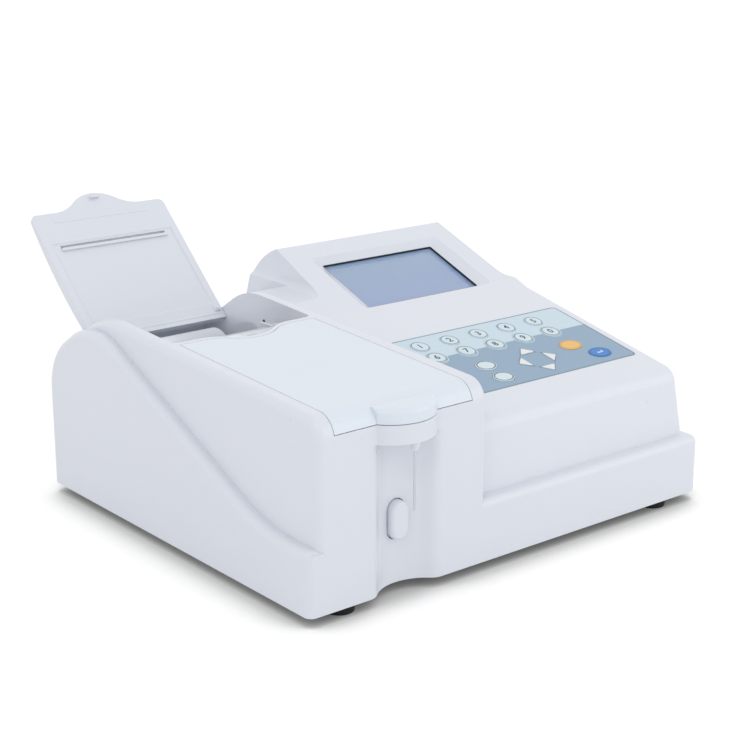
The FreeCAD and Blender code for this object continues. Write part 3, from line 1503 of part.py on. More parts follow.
def pump_rotor():
    """Rotor: two flanges on a hub that fits the motor's shaft."""
    centre = Vector(PUMP_X, PUMP_Y, PUMP_ROTOR_Z0)
    upper = centre + AXIS_Z * (PUMP_ROTOR_H - PUMP_FLANGE_T)
    flanges = [rod(start, AXIS_Z, PUMP_ROTOR_R, PUMP_FLANGE_T) for start in (centre, upper)]
    hub = rod(centre, AXIS_Z, PUMP_HUB_R, PUMP_ROTOR_H)
    below = PUMP_ROTOR_Z0 - OVERLAP
    deep = PUMP_ROTOR_H + 2 * OVERLAP
    holes = [rod(place, AXIS_Z, PUMP_ROLLER_PIN_R + PRESS_GAP, deep) for place in roller_places(below)]
    holes.append(rod(Vector(PUMP_X, PUMP_Y, below), AXIS_Z, PUMP_SHAFT_R, deep))
    return joined([hub] + flanges).cut(holes)


def pump_rollers():
    """Rollers on their pins between the rotor's flanges."""
    low = PUMP_ROTOR_Z0 + PUMP_FLANGE_T + PUMP_ROLLER_GAP
    length = PUMP_ROTOR_H - 2 * PUMP_FLANGE_T - 2 * PUMP_ROLLER_GAP
    drums = [rod(place, AXIS_Z, PUMP_ROLLER_R, length) for place in roller_places(low)]
    pins = [rod(place, AXIS_Z, PUMP_ROLLER_PIN_R, PUMP_ROTOR_H) for place in roller_places(PUMP_ROTOR_Z0)]
    return Part.makeCompound([joined([drum, pin]) for drum, pin in zip(drums, pins)])


def pump_motor():
    """Pump motor under the tray, with its shaft up through the rotor."""
    body = rod(Vector(PUMP_X, PUMP_Y, TRAY_Z - PUMP_MOTOR_L), AXIS_Z, PUMP_MOTOR_R, PUMP_MOTOR_L)
    length = PUMP_ROTOR_Z0 + PUMP_ROTOR_H - TRAY_Z + OVERLAP
    shaft = rod(Vector(PUMP_X, PUMP_Y, TRAY_Z - OVERLAP), AXIS_Z, PUMP_SHAFT_R - RUN_CLEARANCE, length)
    return joined([body, shaft])


def bent_path(points, radii):
    """Wire through points, with a tangent arc of its own radius at each inner point."""
    edges = []
    last = points[0]
    for before, point, after, radius in zip(points, points[1:], points[2:], radii):
        u = (before - point).normalize()
        v = (after - point).normalize()
        half = u.getAngle(v) / 2
        reach = radius / math.tan(half)
        crown = point + (u + v).normalize() * (radius / math.sin(half) - radius)
        enter = point + u * reach
        leave = point + v * reach
        if (enter - last).Length > 1e-6:
            edges.append(Part.LineSegment(last, enter).toShape())
        edges.append(Part.Arc(enter, crown, leave).toShape())
        last = leave
    edges.append(Part.LineSegment(last, points[-1]).toShape())
    return Part.Wire(edges)


def swept(path, radius):
    """Round bar along a path."""
    first = path.OrderedEdges[0]
    start = first.valueAt(first.FirstParameter)
    way = first.tangentAt(first.FirstParameter)
    ring = Part.Wire(Part.makeCircle(radius, start, way))
    return path.makePipeShell([ring], True, False)


def tube(points, radii, radius, bore):
    """Tube along points with rounded bends."""
    path = bent_path(points, radii)
    return swept(path, radius).cut(swept(path, bore))


def pump_tube():
    """Tube from the flow cell, round the pump's track and down through the base."""
    r = pump_tube_r()
    level = PUMP_ROTOR_Z0 + PUMP_ROTOR_H / 2
    port = Vector(port_xs()[0], cell_y(), CELL_TOP_Z)
    points = [
        port,
        Vector(port.x, port.y, WASTE_LEVEL_Z),
        Vector(PUMP_X - r, WASTE_TURN_Y, WASTE_LEVEL_Z),
        Vector(PUMP_X - r, WASTE_TURN_Y, level),
        Vector(PUMP_X - r, PUMP_Y + r, level),
        Vector(PUMP_X + r, PUMP_Y + r, level),
        Vector(PUMP_X + r, WASTE_EXIT_Y, level),
        Vector(PUMP_X + r, WASTE_EXIT_Y, WASTE_END_Z),
    ]
    radii = [TUBE_TIGHT_R, TUBE_BEND_R, TUBE_BEND_R, r, r, TUBE_BEND_R]
    return tube(points, radii, TUBE_R, TUBE_BORE_R)


def sample_tube():
    """Tube from the probe to the flow cell's inlet."""
    inlet = port_xs()[1]
    points = [
        Vector(NICHE_X, PROBE_REAR_Y - TUBE_GRIP, PROBE_TOP_Z),
        Vector(NICHE_X, SAMPLE_RUN_Y, PROBE_TOP_Z),
        Vector(NICHE_X, SAMPLE_RUN_Y + 2 * TUBE_BEND_R, SAMPLE_LEVEL_Z),
        Vector(inlet, cell_y(), SAMPLE_LEVEL_Z),
        Vector(inlet, cell_y(), CELL_TOP_Z),
    ]
    return tube(points, [TUBE_BEND_R, TUBE_BEND_R, TUBE_TIGHT_R], TUBE_R, TUBE_BORE_R)


def nozzle():
    """Conical probe guide under the boss."""
    base = Vector(NICHE_X, PROBE_Y, BOSS_Z0)
    drop = BOSS_Z0 - NOZZLE_TIP_Z
    cone = Part.makeCone(NOZZLE_BASE_R, NOZZLE_TIP_R, drop, base, Vector(0, 0, -1))
    spigot = rod(base, AXIS_Z, NOZZLE_SPIGOT_R, NOZZLE_SPIGOT_H)
    bore = rod(base - AXIS_Z * (drop + OVERLAP), AXIS_Z, PROBE_R + PRESS_GAP, drop + 2 * OVERLAP)
    mouth = rod(base, AXIS_Z, NOZZLE_MOUTH_R, NOZZLE_SPIGOT_H + OVERLAP)
    return joined([cone, spigot]).cut([bore, mouth])


def probe():
    """Steel sampling probe, bent back into the flow-cell bay at its top."""
    points = [
        Vector(NICHE_X, PROBE_Y, PROBE_TIP_Z),
        Vector(NICHE_X, PROBE_Y, PROBE_TOP_Z),
        Vector(NICHE_X, PROBE_REAR_Y, PROBE_TOP_Z),
    ]
    return tube(points, [PROBE_BEND_R], PROBE_R, PROBE_BORE_R)


def frame_x(side):
    """Outer face of the printer frame on one side."""
    return PRINTER_X + side * FRAME_W / 2


def roll_z():
    """Height of the paper roll's axis above its cradle."""
    return BAY_FLOOR_Z + FRAME_T + CRADLE_T + ROLL_GAP + ROLL_R


def pinion_place():
    """Depth and height of the pinion's axis beside the platen gear."""
    reach = GEAR_MODULE * (PLATEN_TEETH + PINION_TEETH) / 2 + GEAR_SPREAD
    turn = math.radians(PINION_BEARING_DEG)
    return PLATEN_Y + reach * math.cos(turn), PLATEN_Z + reach * math.sin(turn)


def printer_frame():
    """Printer chassis: floor, two side plates and the paper cradle."""
    x0 = frame_x(LEFT_SIDE)
    x1 = frame_x(RIGHT_SIDE)
    floor_top = BAY_FLOOR_Z + FRAME_T
    pieces = [block(x0, x1, FRAME_Y0, FRAME_Y1, BAY_FLOOR_Z, floor_top)]
    side = [
        (FRAME_Y0, BAY_FLOOR_Z, 0),
        (FRAME_Y1, BAY_FLOOR_Z, 0),
        (FRAME_Y1, FRAME_LOW_Z, CRADLE_T),
        (FRAME_HEAD_Y1, FRAME_LOW_Z, CRADLE_T),
        (FRAME_HEAD_Y1, FRAME_TOP_Z, CRADLE_T),
        (FRAME_Y0, FRAME_TOP_Z, 0),
    ]
    for x in (x0, x1 - FRAME_T):
        pieces.append(prism(side, in_side(x), Vector(FRAME_T, 0, 0)))
    w = ROLL_W / 2
    half = ROLL_R - CRADLE_T
    top = roll_z() - half / 2
    saddle = block(PRINTER_X - w, PRINTER_X + w, ROLL_Y - half, ROLL_Y + half, BAY_FLOOR_Z, top)
    start = Vector(PRINTER_X - w - OVERLAP, ROLL_Y, roll_z())
    pieces.append(saddle.cut(rod(start, AXIS_X, ROLL_R + ROLL_GAP, ROLL_W + 2 * OVERLAP)))
    start = Vector(x0 - OVERLAP, PLATEN_Y, PLATEN_Z)
    shaft = rod(start, AXIS_X, PLATEN_SHAFT_R + RUN_CLEARANCE, FRAME_W + 2 * OVERLAP)
    y, z = pinion_place()
    start = Vector(x1 - FRAME_T - OVERLAP, y, z)
    pinion = rod(start, AXIS_X, PINION_SHAFT_R + PINION_HOLE_GAP, FRAME_T + 2 * OVERLAP)
    return joined(pieces).cut([shaft, pinion])


def gear_x():
    """Inner face of the printer's gears, just outside the frame."""
    return frame_x(RIGHT_SIDE) + GEAR_GAP


def platen_roller():
    """Rubber platen on its shaft."""
    w = PLATEN_L / 2
    drum = rod(Vector(PRINTER_X - w, PLATEN_Y, PLATEN_Z), AXIS_X, PLATEN_R, PLATEN_L)
    start = frame_x(LEFT_SIDE) - OVERLAP
    shaft = rod(Vector(start, PLATEN_Y, PLATEN_Z), AXIS_X, PLATEN_SHAFT_R, gear_x() + GEAR_T - start)
    return joined([drum, shaft])


def gear(teeth, bore, y, z, first_turn):
    """Straight-toothed gear about an axis along X, with one tooth at the first angle."""
    pitch_r = GEAR_MODULE * teeth / 2
    tip_r = pitch_r + GEAR_MODULE
    root_r = pitch_r - GEAR_DEDENDUM * GEAR_MODULE
    tooth = (math.pi * GEAR_MODULE / 2 - GEAR_BACKLASH) / pitch_r
    tip = tooth * TOOTH_TIP_SHARE * pitch_r / tip_r
    root = tooth * (2 - TOOTH_TIP_SHARE)
    corners = []
    for i in range(teeth):
        turn = first_turn + 2 * math.pi * i / teeth
        profile = ((root_r, -root / 2), (tip_r, -tip / 2), (tip_r, tip / 2), (root_r, root / 2))
        for radius, offset in profile:
            corners.append((y + radius * math.cos(turn + offset), z + radius * math.sin(turn + offset), 0))
    disc = prism(corners, in_side(gear_x()), Vector(GEAR_T, 0, 0))
    return disc.cut(rod(Vector(gear_x() - OVERLAP, y, z), AXIS_X, bore, GEAR_T + 2 * OVERLAP))


def platen_gear():
    """Gear on the platen's shaft."""
    turn = math.radians(PINION_BEARING_DEG)
    return gear(PLATEN_TEETH, PLATEN_SHAFT_R + PRESS_GAP, PLATEN_Y, PLATEN_Z, turn)


def motor_gear():
    """Pinion on the printer motor's shaft, with a gap towards the platen gear's tooth."""
    y, z = pinion_place()
    turn = math.radians(PINION_BEARING_DEG) + math.pi + math.pi / PINION_TEETH
    return gear(PINION_TEETH, PINION_SHAFT_R + RUN_CLEARANCE, y, z, turn)


def printer_motor():
    """Printer motor on the inside of the frame's right plate."""
    y, z = pinion_place()
    x = frame_x(RIGHT_SIDE) - FRAME_T
    body = rod(Vector(x - PRINTER_MOTOR_L, y, z), AXIS_X, PRINTER_MOTOR_R, PRINTER_MOTOR_L)
    shaft = rod(Vector(x - OVERLAP, y, z), AXIS_X, PINION_SHAFT_R, gear_x() + GEAR_T - x + OVERLAP)
    return joined([body, shaft])


def print_head():
    """Thermal head bar in front of the platen."""
    rear = PLATEN_Y - PLATEN_R - HEAD_GAP
    x0 = frame_x(LEFT_SIDE) + FRAME_T
    x1 = frame_x(RIGHT_SIDE) - FRAME_T
    return block(x0, x1, rear - HEAD_T, rear, HEAD_Z0, HEAD_Z1)


def tear_bar():
    """Bar across the top of the frame, bevelled to its tearing edge."""
    x0 = frame_x(LEFT_SIDE)
    low = FRAME_TOP_Z
    corners = [
        (TEAR_BAR_Y0, low, 0),
        (TEAR_BAR_Y1, low, 0),
        (TEAR_BAR_Y1, low + TEAR_BAR_T, 0),
        (TEAR_BAR_Y0 + TEAR_BAR_T, low + TEAR_BAR_T, 0),
    ]
    return prism(corners, in_side(x0), Vector(FRAME_W, 0, 0))


def paper_roll():
    """Roll of paper on its core."""
    start = Vector(PRINTER_X - ROLL_W / 2, ROLL_Y, roll_z())
    return pipe(start, AXIS_X, ROLL_R, ROLL_CORE_R, ROLL_W)


def main_board():
    """Main circuit board with its larger chips."""
    top = MAIN_Z + BOARD_T
    pieces = [block(MAIN_X0, MAIN_X1, MAIN_Y0, MAIN_Y1, MAIN_Z, top)]
    step_x = (MAIN_X1 - MAIN_X0) / (CHIP_COLUMNS + 1)
    step_y = (MAIN_Y1 - MAIN_Y0) / (CHIP_ROWS + 1)
    for row in range(CHIP_ROWS):
        for column in range(CHIP_COLUMNS):
            x = MAIN_X0 + (column + 1) * step_x - CHIP_W / 2
            y = MAIN_Y0 + (row + 1) * step_y - CHIP_D / 2
            pieces.append(block(x, x + CHIP_W, y, y + CHIP_D, top, top + CHIP_H))
    return joined(pieces)


def power_supply():
    """Power supply in a slotted case on the base plate."""
    low = BASE_Z0 + BASE_T
    top = low + SUPPLY_H
    body = block(SUPPLY_X0, SUPPLY_X1, SUPPLY_Y0, SUPPLY_Y1, low, top)
    step = (SUPPLY_X1 - SUPPLY_X0) / (SUPPLY_SLOTS + 1)
    y = (SUPPLY_Y0 + SUPPLY_Y1) / 2
    half = SUPPLY_SLOT_L / 2
    slots = []
    for i in range(SUPPLY_SLOTS):
        x = SUPPLY_X0 + (i + 1) * step - SUPPLY_SLOT_W / 2
        slot_z = top - SUPPLY_SLOT_DEPTH
        slots.append(block(x, x + SUPPLY_SLOT_W, y - half, y + half, slot_z, top + OVERLAP))
    return body.cut(slots)


def rocker_pivot():
    """Pivot of the power rocker."""
    y = BODY_D + INLET_FLANGE_T - ROCKER_PIVOT_IN
    return Vector(INLET_X + ROCKER_OFFSET_X, y, INLET_Z)


def power_inlet():
    """Mains inlet module: flange, socket with three blades and the rocker's well."""
    w = INLET_W / 2
    h = INLET_H / 2
    outer = BODY_D + INLET_FLANGE_T
    f = INLET_FLANGE
    flange = block(INLET_X - w - f, INLET_X + w + f, BODY_D, outer, INLET_Z - h - f, INLET_Z + h + f)
    body = block(INLET_X - w, INLET_X + w, BODY_D - INLET_BODY_L, BODY_D, INLET_Z - h, INLET_Z + h)
    sx = INLET_X + SOCKET_OFFSET_X
    a = SOCKET_W / 2
    b = SOCKET_H / 2
    c = SOCKET_CHAMFER
    shape = [(-a, -b), (a, -b), (a, b - c), (a - c, b), (c - a, b), (-a, b - c)]
    corners = [(sx + x, INLET_Z + z, 0) for x, z in shape]
    floor_y = outer - SOCKET_DEPTH
    socket = prism(corners, in_front(floor_y), Vector(0, SOCKET_DEPTH + OVERLAP, 0))
    pivot = rocker_pivot()
    rw = ROCKER_W / 2 + ROCKER_GAP
    rh = ROCKER_H / 2 + ROCKER_SWING_GAP
    well_y = outer - ROCKER_WELL
    well = block(pivot.x - rw, pivot.x + rw, well_y, outer + OVERLAP, INLET_Z - rh, INLET_Z + rh)
    reach = rw + ROCKER_AXLE_L
    axle = rod(pivot - AXIS_X * reach, AXIS_X, ROCKER_AXLE_R + RUN_CLEARANCE, 2 * reach)
    made = joined([flange, body]).cut([socket, well, axle])
    blades = []
    places = ((-BLADE_SPREAD, -BLADE_DROP), (BLADE_SPREAD, -BLADE_DROP), (0, BLADE_RISE))
    for dx, dz in places:
        x = sx + dx
        z = INLET_Z + dz
        w = BLADE_W / 2
        h = BLADE_H / 2
        blades.append(block(x - w, x + w, floor_y - OVERLAP, BODY_D, z - h, z + h))
    return joined([made] + blades)


def power_rocker():
    """Rocker tilted to its off side."""
    pivot = rocker_pivot()
    h = ROCKER_H / 2
    b = ROCKER_BACK_H / 2
    front = [(ROCKER_END_OUT, -h), (ROCKER_WAIST_OUT, 0), (ROCKER_END_OUT, h)]
    shape = [(-ROCKER_BACK, -b)] + front + [(-ROCKER_BACK, b)]
    corners = [(pivot.y + y, pivot.z + z, 0) for y, z in shape]
    x0 = pivot.x - ROCKER_W / 2
    body = prism(corners, in_side(x0), Vector(ROCKER_W, 0, 0))
    reach = ROCKER_W / 2 + ROCKER_AXLE_L
    axle = rod(pivot - AXIS_X * reach, AXIS_X, ROCKER_AXLE_R, 2 * reach)
    whole = joined([body, axle])
    whole.rotate(pivot, AXIS_X, ROCKER_TILT_DEG)
    return whole


def nodes():
    """Every piece by its name."""
    made = {
        "housing": housing(),
        "base_plate": base_plate(),
        "base_screws": base_screws(),
        "feet": feet(),
        "flow_cell_cover": flow_cell_cover(),
        "cell_tray": cell_tray(),
        "optic_block": optic_block(),
        "flow_cell": flow_cell(),
        "lamp_house": lamp_house(),
        "lamp": lamp(),
        "filter_wheel": filter_wheel(),
        "filter_glasses": filter_glasses(),
        "filter_motor": filter_motor(),
        "detector_board": detector_board(),
        "pump_bracket": pump_bracket(),
        "pump_rotor": pump_rotor(),
        "pump_rollers": pump_rollers(),
        "pump_motor": pump_motor(),
        "pump_tube": pump_tube(),
        "sample_tube": sample_tube(),
        "nozzle": nozzle(),
        "probe": probe(),
        "aspirate_button": aspirate_button(),
        "button_switch": button_switch(),
        "printer_lid": printer_lid(),
        "lid_panel": lid_panel(),
        "printer_frame": printer_frame(),
        "platen_roller": platen_roller(),
        "platen_gear": platen_gear(),
        "motor_gear": motor_gear(),
        "printer_motor": printer_motor(),
        "print_head": print_head(),
        "tear_bar": tear_bar(),
        "paper_roll": paper_roll(),
        "lcd_window": lcd_window(),
        "lcd_module": lcd_module(),
        "keypad_overlay": keypad_overlay(),
        "keypad_circuit": keypad_circuit(),
        "main_board": main_board(),
        "power_supply": power_supply(),
        "power_inlet": power_inlet(),
        "power_rocker": power_rocker(),
    }
    for name, make in key_makers().items():
        made[name] = key_cap(make)
    return made


def origin():
    """Middle of the part's footprint with the lid open, on the table under the feet."""
    turn = math.radians(LID_OPEN_DEG)
    reach = (LID_LEN + WAVE_OUT) * math.cos(turn) + LID_EDGE_T / 2 * math.sin(turn)
    rear = HINGE_Y + reach
    return Vector(BODY_W / 2, (rear - BOSS_OUT) / 2, -FOOT_H)


def main():
    os.makedirs("parts", exist_ok=True)
    shift = origin() * -1
    for name, shape in nodes().items():
        shape.translate(shift)
        print(name, shape.isValid(), len(shape.Solids), round(shape.Volume, 1))
        shape.exportStep("parts/%s.step" % name)


main()
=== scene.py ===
"""Dress the bench-top chemistry analyser: finishes, printed keypad, display, printer trim, studio."""

import json
import logging
import math
from dataclasses import dataclass, field, replace
from enum import Enum
from typing import Sequence

import bmesh
import bpy
from bpy.types import ID, Material, Mesh, Node, NodeTree, Object
from mathutils import Matrix, Vector


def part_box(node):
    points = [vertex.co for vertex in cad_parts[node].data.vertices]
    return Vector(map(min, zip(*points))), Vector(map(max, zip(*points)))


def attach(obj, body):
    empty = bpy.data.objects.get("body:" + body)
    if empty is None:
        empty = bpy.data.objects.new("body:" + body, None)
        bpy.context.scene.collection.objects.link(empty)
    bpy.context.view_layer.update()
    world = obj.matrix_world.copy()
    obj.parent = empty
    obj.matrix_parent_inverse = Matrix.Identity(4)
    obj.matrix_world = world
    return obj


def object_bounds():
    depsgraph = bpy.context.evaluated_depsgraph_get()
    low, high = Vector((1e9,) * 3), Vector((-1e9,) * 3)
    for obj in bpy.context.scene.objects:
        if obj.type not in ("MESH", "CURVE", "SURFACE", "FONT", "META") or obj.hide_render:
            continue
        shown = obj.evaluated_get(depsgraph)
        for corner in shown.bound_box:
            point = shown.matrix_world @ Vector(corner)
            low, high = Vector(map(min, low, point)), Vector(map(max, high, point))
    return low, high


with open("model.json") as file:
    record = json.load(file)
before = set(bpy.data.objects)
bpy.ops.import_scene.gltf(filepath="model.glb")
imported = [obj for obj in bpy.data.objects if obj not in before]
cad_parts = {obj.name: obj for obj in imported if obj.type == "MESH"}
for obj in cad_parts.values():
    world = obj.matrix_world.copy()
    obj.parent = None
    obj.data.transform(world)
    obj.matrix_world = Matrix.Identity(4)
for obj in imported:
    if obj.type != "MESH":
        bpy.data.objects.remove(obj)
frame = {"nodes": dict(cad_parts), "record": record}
CAD_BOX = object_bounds()

LOG = logging.getLogger("analyser")
MM = 0.001
RIGHT = Vector((1, 0, 0))
BACK = Vector((0, 1, 0))
UP = Vector((0, 0, 1))
Colour = tuple[float, float, float]
Point = tuple[float, float, float]
Loop = list[tuple[float, float]]
Link = tuple[Node, str | int, Node, str | int]


class Body(str, Enum):
    """Bodies of the analyser that dressed pieces ride on."""

    BASE = "base"
    LID = "lid"
    ROCKER = "rocker"


class Ink(Enum):
    """Inks of the printed keypad and the switch marks, and dark colours of painted shade."""

    RING = (0.115, 0.165, 0.200)
    DIGIT = (0.060, 0.085, 0.110)
    HALO = (0.560, 0.690, 0.740)
    # Painted shade along the overlay's edge and the arrow keys' sides; the arrows' corner ticks in it are
    # print.
    BORDER = (0.190, 0.250, 0.310)
    MARK = (0.800, 0.810, 0.820)
    # Painted shade: dark colour put in screw recesses and a wall hole, where there is only shade.
    RECESS = (0.030, 0.031, 0.033)


class Socket(Enum):
    """Kinds of socket on the node trees."""

    FLOAT = "NodeSocketFloat"
    COUNT = "NodeSocketInt"
    VECTOR = "NodeSocketVector"
    OBJECT = "NodeSocketObject"
    MATERIAL = "NodeSocketMaterial"
    GEOMETRY = "NodeSocketGeometry"


Sockets = Sequence[tuple[str, Socket]]


def srgb(red: int, green: int, blue: int) -> Colour:
    """Turn screen values from 0 to 255 into a linear colour, by the sRGB curve.

    Args:
        red: Red screen value.
        green: Green screen value.
        blue: Blue screen value.

    Returns:
        The linear colour.
    """
    shares = [value / 255 for value in (red, green, blue)]
    return tuple(share / 12.92 if share <= 0.04045 else ((share + 0.055) / 1.055) ** 2.4 for share in shares)


@dataclass(frozen=True)
class Plane:
    """A flat surface of the object with its own right, up and outward directions."""

    origin: Vector
    right: Vector
    up: Vector
    out: Vector

    def at(self, u: float, v: float, w: float = 0.0) -> Vector:
        """Point at u to the right, v up and w outwards, in metres."""
        return self.origin + self.right * u + self.up * v + self.out * w

    def matrix(self) -> Matrix:
        """Matrix that lays a flat XY drawing on the surface.

        Returns:
            The matrix from the drawing to the part's frame.
        """
        columns = Matrix((self.right, self.up, self.out)).transposed().to_4x4()
        columns.translation = self.origin
        return columns

    def moved(self, origin: Vector) -> "Plane":
        """Same directions about another origin."""
        return Plane(origin, self.right, self.up, self.out)


def facing_plane(
    node: str,
    towards: Vector,
    right: Vector,
    heights: tuple[float, float] | None = None,
) -> Plane:
    """Largest flat face of a node that looks a given way, with its origin in the node's middle.

    Args:
        node: Name of a CAD node.
        towards: Direction that the face roughly looks to.
        right: Direction that counts as right on the face.
        heights: Only faces whose centre lies between these two heights, where given.

    Returns:
        The plane of the face.
    """
    faces = [face for face in frame["nodes"][node].data.polygons if face.normal.dot(towards) > 0.5]
    if heights is not None:
        faces = [face for face in faces if heights[0] < face.center.z < heights[1]]
    face = max(faces, key=lambda entry: entry.area)
    out = face.normal.copy()
    low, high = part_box(node)
    middle = (low + high) / 2
    origin = middle + out * (face.center - middle).dot(out)
    return Plane(origin, right, out.cross(right), out)


def sloping_plane(node: str) -> Plane:
    """Upper face of a flat sloping node."""
    return facing_plane(node, UP, RIGHT)


def tilted_length(low: Vector, high: Vector, plane: Plane) -> float:
    """Length of a flat plate that is tilted about X, along its slope, from its box.

    Args:
        low: Low corner of the plate's box.
        high: High corner of the plate's box.
        plane: Plane of its upper face.

    Returns:
        The plate's length in metres.
    """
    run = abs(plane.up.y)
    rise = abs(plane.up.z)
    return ((high.y - low.y) * run - (high.z - low.z) * rise) / (run * run - rise * rise)


def islands(node: str) -> list[tuple[Vector, Vector]]:
    """Box of each separate solid in a node.

    Args:
        node: Name of a CAD node that holds several solids.

    Returns:
        Low and high corner of each solid.
    """
    work = bmesh.new()
    work.from_mesh(frame["nodes"][node].data)
    bmesh.ops.remove_doubles(work, verts=work.verts, dist=1e-6)
    left = set(work.verts)
    boxes: list[tuple[Vector, Vector]] = []
    while left:
        open_ends = [left.pop()]
        found = list(open_ends)
        while open_ends:
            for edge in open_ends.pop().link_edges:
                for vertex in edge.verts:
                    if vertex in left:
                        left.remove(vertex)
                        open_ends.append(vertex)
                        found.append(vertex)
        corners = [[vertex.co[axis] for vertex in found] for axis in range(3)]
        boxes.append((Vector([min(row) for row in corners]), Vector([max(row) for row in corners])))
    work.free()
    return sorted(boxes, key=lambda box: (round(box[0].x, 4), round(box[0].y, 4)))


def new_tree(name: str, kind: str, inputs: Sockets, outputs: Sockets) -> NodeTree:
    """Empty node tree with named sockets.

    Args:
        name: Name of the tree.
        kind: Blender's name of the tree's type.
        inputs: Name and kind of each input.
        outputs: Name and kind of each output.

    Returns:
        The tree, with its input and output nodes.
    """
    tree = bpy.data.node_groups.new(name, kind)
    for way, sockets in (("INPUT", inputs), ("OUTPUT", outputs)):
        for label, socket in sockets:
            tree.interface.new_socket(label, in_out=way, socket_type=socket.value)
    tree.nodes.new("NodeGroupInput")
    tree.nodes.new("NodeGroupOutput")
    return tree


def add_node(
    tree: NodeTree,
    kind: str,
    inputs: dict[str | int, object] | None = None,
    **settings: object,
) -> Node:
    """Add a node to a tree.

    Args:
        tree: Tree that gets the node.
        kind: Blender's name of the node's type.
        inputs: Values of its unlinked inputs, by name or number.
        **settings: Its own properties, set before the inputs.

    Returns:
        The new node.
    """
    made = tree.nodes.new(kind)
    for label, value in settings.items():
        setattr(made, label, value)
    for label, value in (inputs or {}).items():
        made.inputs[label].default_value = value
    return made


def wire(tree: NodeTree, *links: Link) -> None:
    """Join nodes of a tree.

    Args:
        tree: Tree that holds the nodes.
        *links: Each a node, its output, another node and that node's input.
    """
    for source, output, target, entry in links:
        tree.links.new(source.outputs[output], target.inputs[entry])


def fill_ramp(ramp: Node, stops: Sequence[tuple[float, Colour]]) -> None:
    """Set the stops of a colour ramp, which has two to start with.

    Args:
        ramp: The colour ramp's node.
        stops: Place and colour of each stop, in order.
    """
    elements = ramp.color_ramp.elements
    for index, (place, colour) in enumerate(stops):
        stop = elements[index] if index < 2 else elements.new(place)
        stop.position = place
        stop.color = (*colour, 1)


class ShaderGroups:
    """Node groups that several finishes share, each built once."""

    OUTPUTS = ("Height", "Tone", "Gloss")

    def __init__(self) -> None:
        """Build every group."""
        self.skin = self._moulded_skin()
        self.brush = self._brushed_lines()

    def _new(self, name: str, inputs: Sequence[str]) -> NodeTree:
        """Make an empty group with float sockets.

        Args:
            name: Name of the group.
            inputs: Names of its inputs.

        Returns:
            The group, which puts out height, tone and gloss.
        """
        outputs = [(label, Socket.FLOAT) for label in self.OUTPUTS]
        return new_tree(name, "ShaderNodeTree", [(label, Socket.FLOAT) for label in inputs], outputs)

    def _moulded_skin(self) -> NodeTree:
        """Fine moulded grain, slow drift of tone and patchy gloss.

        Returns:
            The group.
        """
        tree = self._new("moulded_skin", ("Grain Scale", "Drift Scale"))
        enter = tree.nodes["Group Input"]
        leave = tree.nodes["Group Output"]
        place = add_node(tree, "ShaderNodeTexCoord")
        grain = add_node(tree, "ShaderNodeTexNoise", {"Detail": 3.0})
        drift = add_node(tree, "ShaderNodeTexNoise", {"Detail": 2.0})
        patch = add_node(tree, "ShaderNodeTexNoise", {"Scale": 55.0, "Detail": 4.0})
        for noise, output in zip((grain, drift, patch), self.OUTPUTS):
            wire(tree, (place, "Object", noise, "Vector"), (noise, "Fac", leave, output))
        wire(tree, (enter, "Grain Scale", grain, "Scale"), (enter, "Drift Scale", drift, "Scale"))
        return tree

    def _brushed_lines(self) -> NodeTree:
        """Long fine lines along X, as brushing or drawing leaves on metal.

        Returns:
            The group.
        """
        tree = self._new("brushed_lines", ("Line Scale",))
        enter = tree.nodes["Group Input"]
        leave = tree.nodes["Group Output"]
        place = add_node(tree, "ShaderNodeTexCoord")
        stretch = add_node(tree, "ShaderNodeMapping", {"Scale": (0.03, 1.0, 1.0)})
        lines = add_node(tree, "ShaderNodeTexNoise", {"Detail": 4.0})
        cloud = add_node(tree, "ShaderNodeTexNoise", {"Scale": 40.0})
        wire(
            tree,
            (place, "Object", stretch, "Vector"),
            (stretch, "Vector", lines, "Vector"),
            (place, "Object", cloud, "Vector"),
            (enter, "Line Scale", lines, "Scale"),
            (lines, "Fac", leave, "Height"),
            (cloud, "Fac", leave, "Tone"),
            (lines, "Fac", leave, "Gloss"),
        )
        return tree


